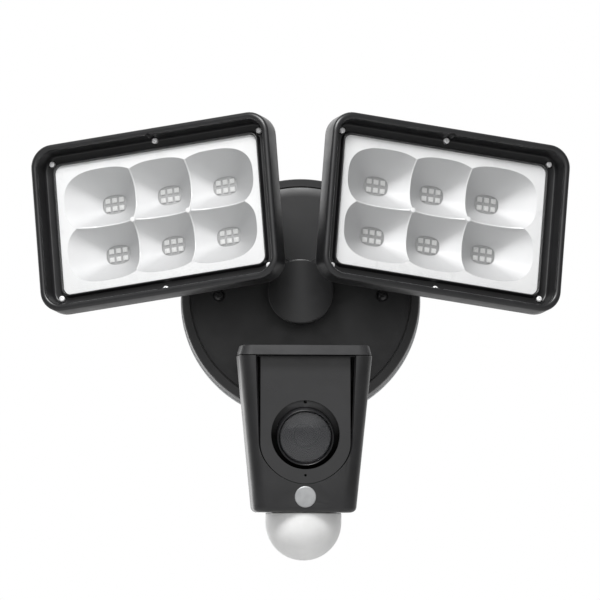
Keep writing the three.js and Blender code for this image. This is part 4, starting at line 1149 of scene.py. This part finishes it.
def make_camera_arm():
    """An eye on the upright pin, a bent neck and an eye on the cross pin."""
    pan, tilt = (0, PAN_Y, BRACKET_Z), (0, TILT_Y, TILT_Z)
    eye = aim(drum(EAR_R, -5.9, 5.9, 0.5, 56), UP, pan)
    knots = [Vector((0, PAN_Y - 2, BRACKET_Z)), Vector((0, PAN_Y - 12, BRACKET_Z - 0.2)),
             Vector((0, TILT_Y + 4, TILT_Z + 11)), Vector((0, TILT_Y + 1.5, TILT_Z + 1.5))]
    neck = sweep(bezier(*knots, 20), NECK_R, 40)
    knuckle = aim(drum(7.4, -6, 6, 0.5, 56), ACROSS, tilt)
    arm = combine("DIFFERENCE", combine("UNION", eye, neck, knuckle), pin_hole(UP, pan),
                  pin_hole(ACROSS, tilt))
    piece("camera_neck", arm, "camera_arm", ["camera_arm"], shell_black, arm_matrix())


make_shells()
make_top_cap()
make_face()
make_lens()
make_dome()
make_badge()
make_button()
make_bracket()
make_camera_arm()


# ---------- CAD parts that stay as they are ----------

KEPT = {
    "wall_crossbar": zinc, "terminal_block": terminal_cream, "speaker": speaker_steel,
    "pan_pin": screw_steel, "tilt_pin": screw_steel, "seal_left": seal_rubber, "seal_right": seal_rubber,
    "driver_board": board_green, "sensor_board": board_green, "main_board": board_green,
    "pir_board": board_green,
}
for node, look in KEPT.items():
    mesh = nodes[node].data
    mesh.materials.clear()
    mesh.materials.append(look)


# ---------- camera, light and surroundings ----------

ELEVATION = math.radians(7)      # the view looks up at the product by this angle
DISTANCE = 10.0
FRAME_WIDTH = 0.3262
AIM = Vector((-0.0003, -0.06, -0.0064))
SENSOR = 36

KEY_PLACE, KEY_TARGET = Vector((-0.35, -1.75, 1.75)), Vector((0, -0.05, 0))
KEY_WIDTH, KEY_HEIGHT, KEY_POWER = 1.1, 0.8, 74

# Glows of the studio round the product: (direction, cosine where it starts, where it is full, strength).
GLOWS = [((0, 1, 0), 0.1, 0.9, 0.75), ((-0.68, 0.73, 0), 0.6, 0.97, 0.85),
         ((0, -1, 0.16), 0.72, 0.97, 0.85), ((0, 0, 1), 0.2, 0.9, 0.14)]
AMBIENT = 0.22

FLOOR_Z, FLOOR_HALF = -1.45, 9.0


def make_camera():
    data = bpy.data.cameras.new("camera")
    data.sensor_width = SENSOR
    data.lens = SENSOR * DISTANCE / FRAME_WIDTH
    data.clip_end = 60
    thing = added("camera", data)
    thing.location = AIM - Vector((0, math.cos(ELEVATION), math.sin(ELEVATION))) * DISTANCE
    thing.rotation_euler = (math.pi / 2 + ELEVATION, 0, 0)
    bpy.context.scene.camera = thing


def make_key_light():
    """One wide soft light, high in front."""
    data = bpy.data.lights.new("key", "AREA")
    data.shape = "RECTANGLE"
    data.size, data.size_y = KEY_WIDTH, KEY_HEIGHT
    data.energy = KEY_POWER
    thing = added("key", data)
    thing.location = KEY_PLACE
    thing.rotation_euler = (KEY_TARGET - KEY_PLACE).to_track_quat("-Z", "Y").to_euler()


def make_world():
    """A white backdrop, bright behind the product and dimmer on the side that it faces."""
    world = bpy.data.worlds.new("studio")
    bpy.context.scene.world = world
    world.use_nodes = True
    nodes_of = Nodes(world.node_tree)
    background = world.node_tree.nodes["Background"]
    place = nodes_of.add("ShaderNodeTexCoord").outputs["Generated"]
    glow = None
    for direction, start, full, strength in GLOWS:
        base = AMBIENT if glow is None else 0
        toward = nodes_of.sum(VECTOR, "DOT_PRODUCT", place, Vector(direction).normalized())
        more = nodes_of.spread(toward, base, base + strength, start, full, interpolation_type="SMOOTHSTEP")
        glow = more if glow is None else nodes_of.sum(MATH, "ADD", glow, more)
    choose = nodes_of.add("ShaderNodeMix", data_type="FLOAT")
    nodes_of.link(nodes_of.add("ShaderNodeLightPath").outputs["Is Camera Ray"], choose.inputs["Factor"])
    nodes_of.link(glow, choose.inputs["A"])
    choose.inputs["B"].default_value = 1.0
    nodes_of.link(choose.outputs["Result"], background.inputs["Strength"])
    background.inputs["Color"].default_value = (1, 1, 1, 1)


def make_floor():
    """A wide pale floor, well below the product."""
    look = Look("pale_floor")
    look.connect(Base_Color=look.mottle((300, 4), grey(0.80), grey(0.84)),
                 Roughness=look.spread(look.noise(40, 3), 0.6, 0.75))
    corners = [Vector((x * FLOOR_HALF, y * FLOOR_HALF, FLOOR_Z))
               for x, y in ((-1, -1), (1, -1), (1, 1), (-1, 1))]
    mesh = mesh_of((corners, [(0, 1, 2, 3)]))
    mesh.materials.append(look.material)
    added("floor", mesh)


make_camera()
make_world()
make_floor()
make_key_light()
bpy.context.scene.view_settings.view_transform = "Standard"
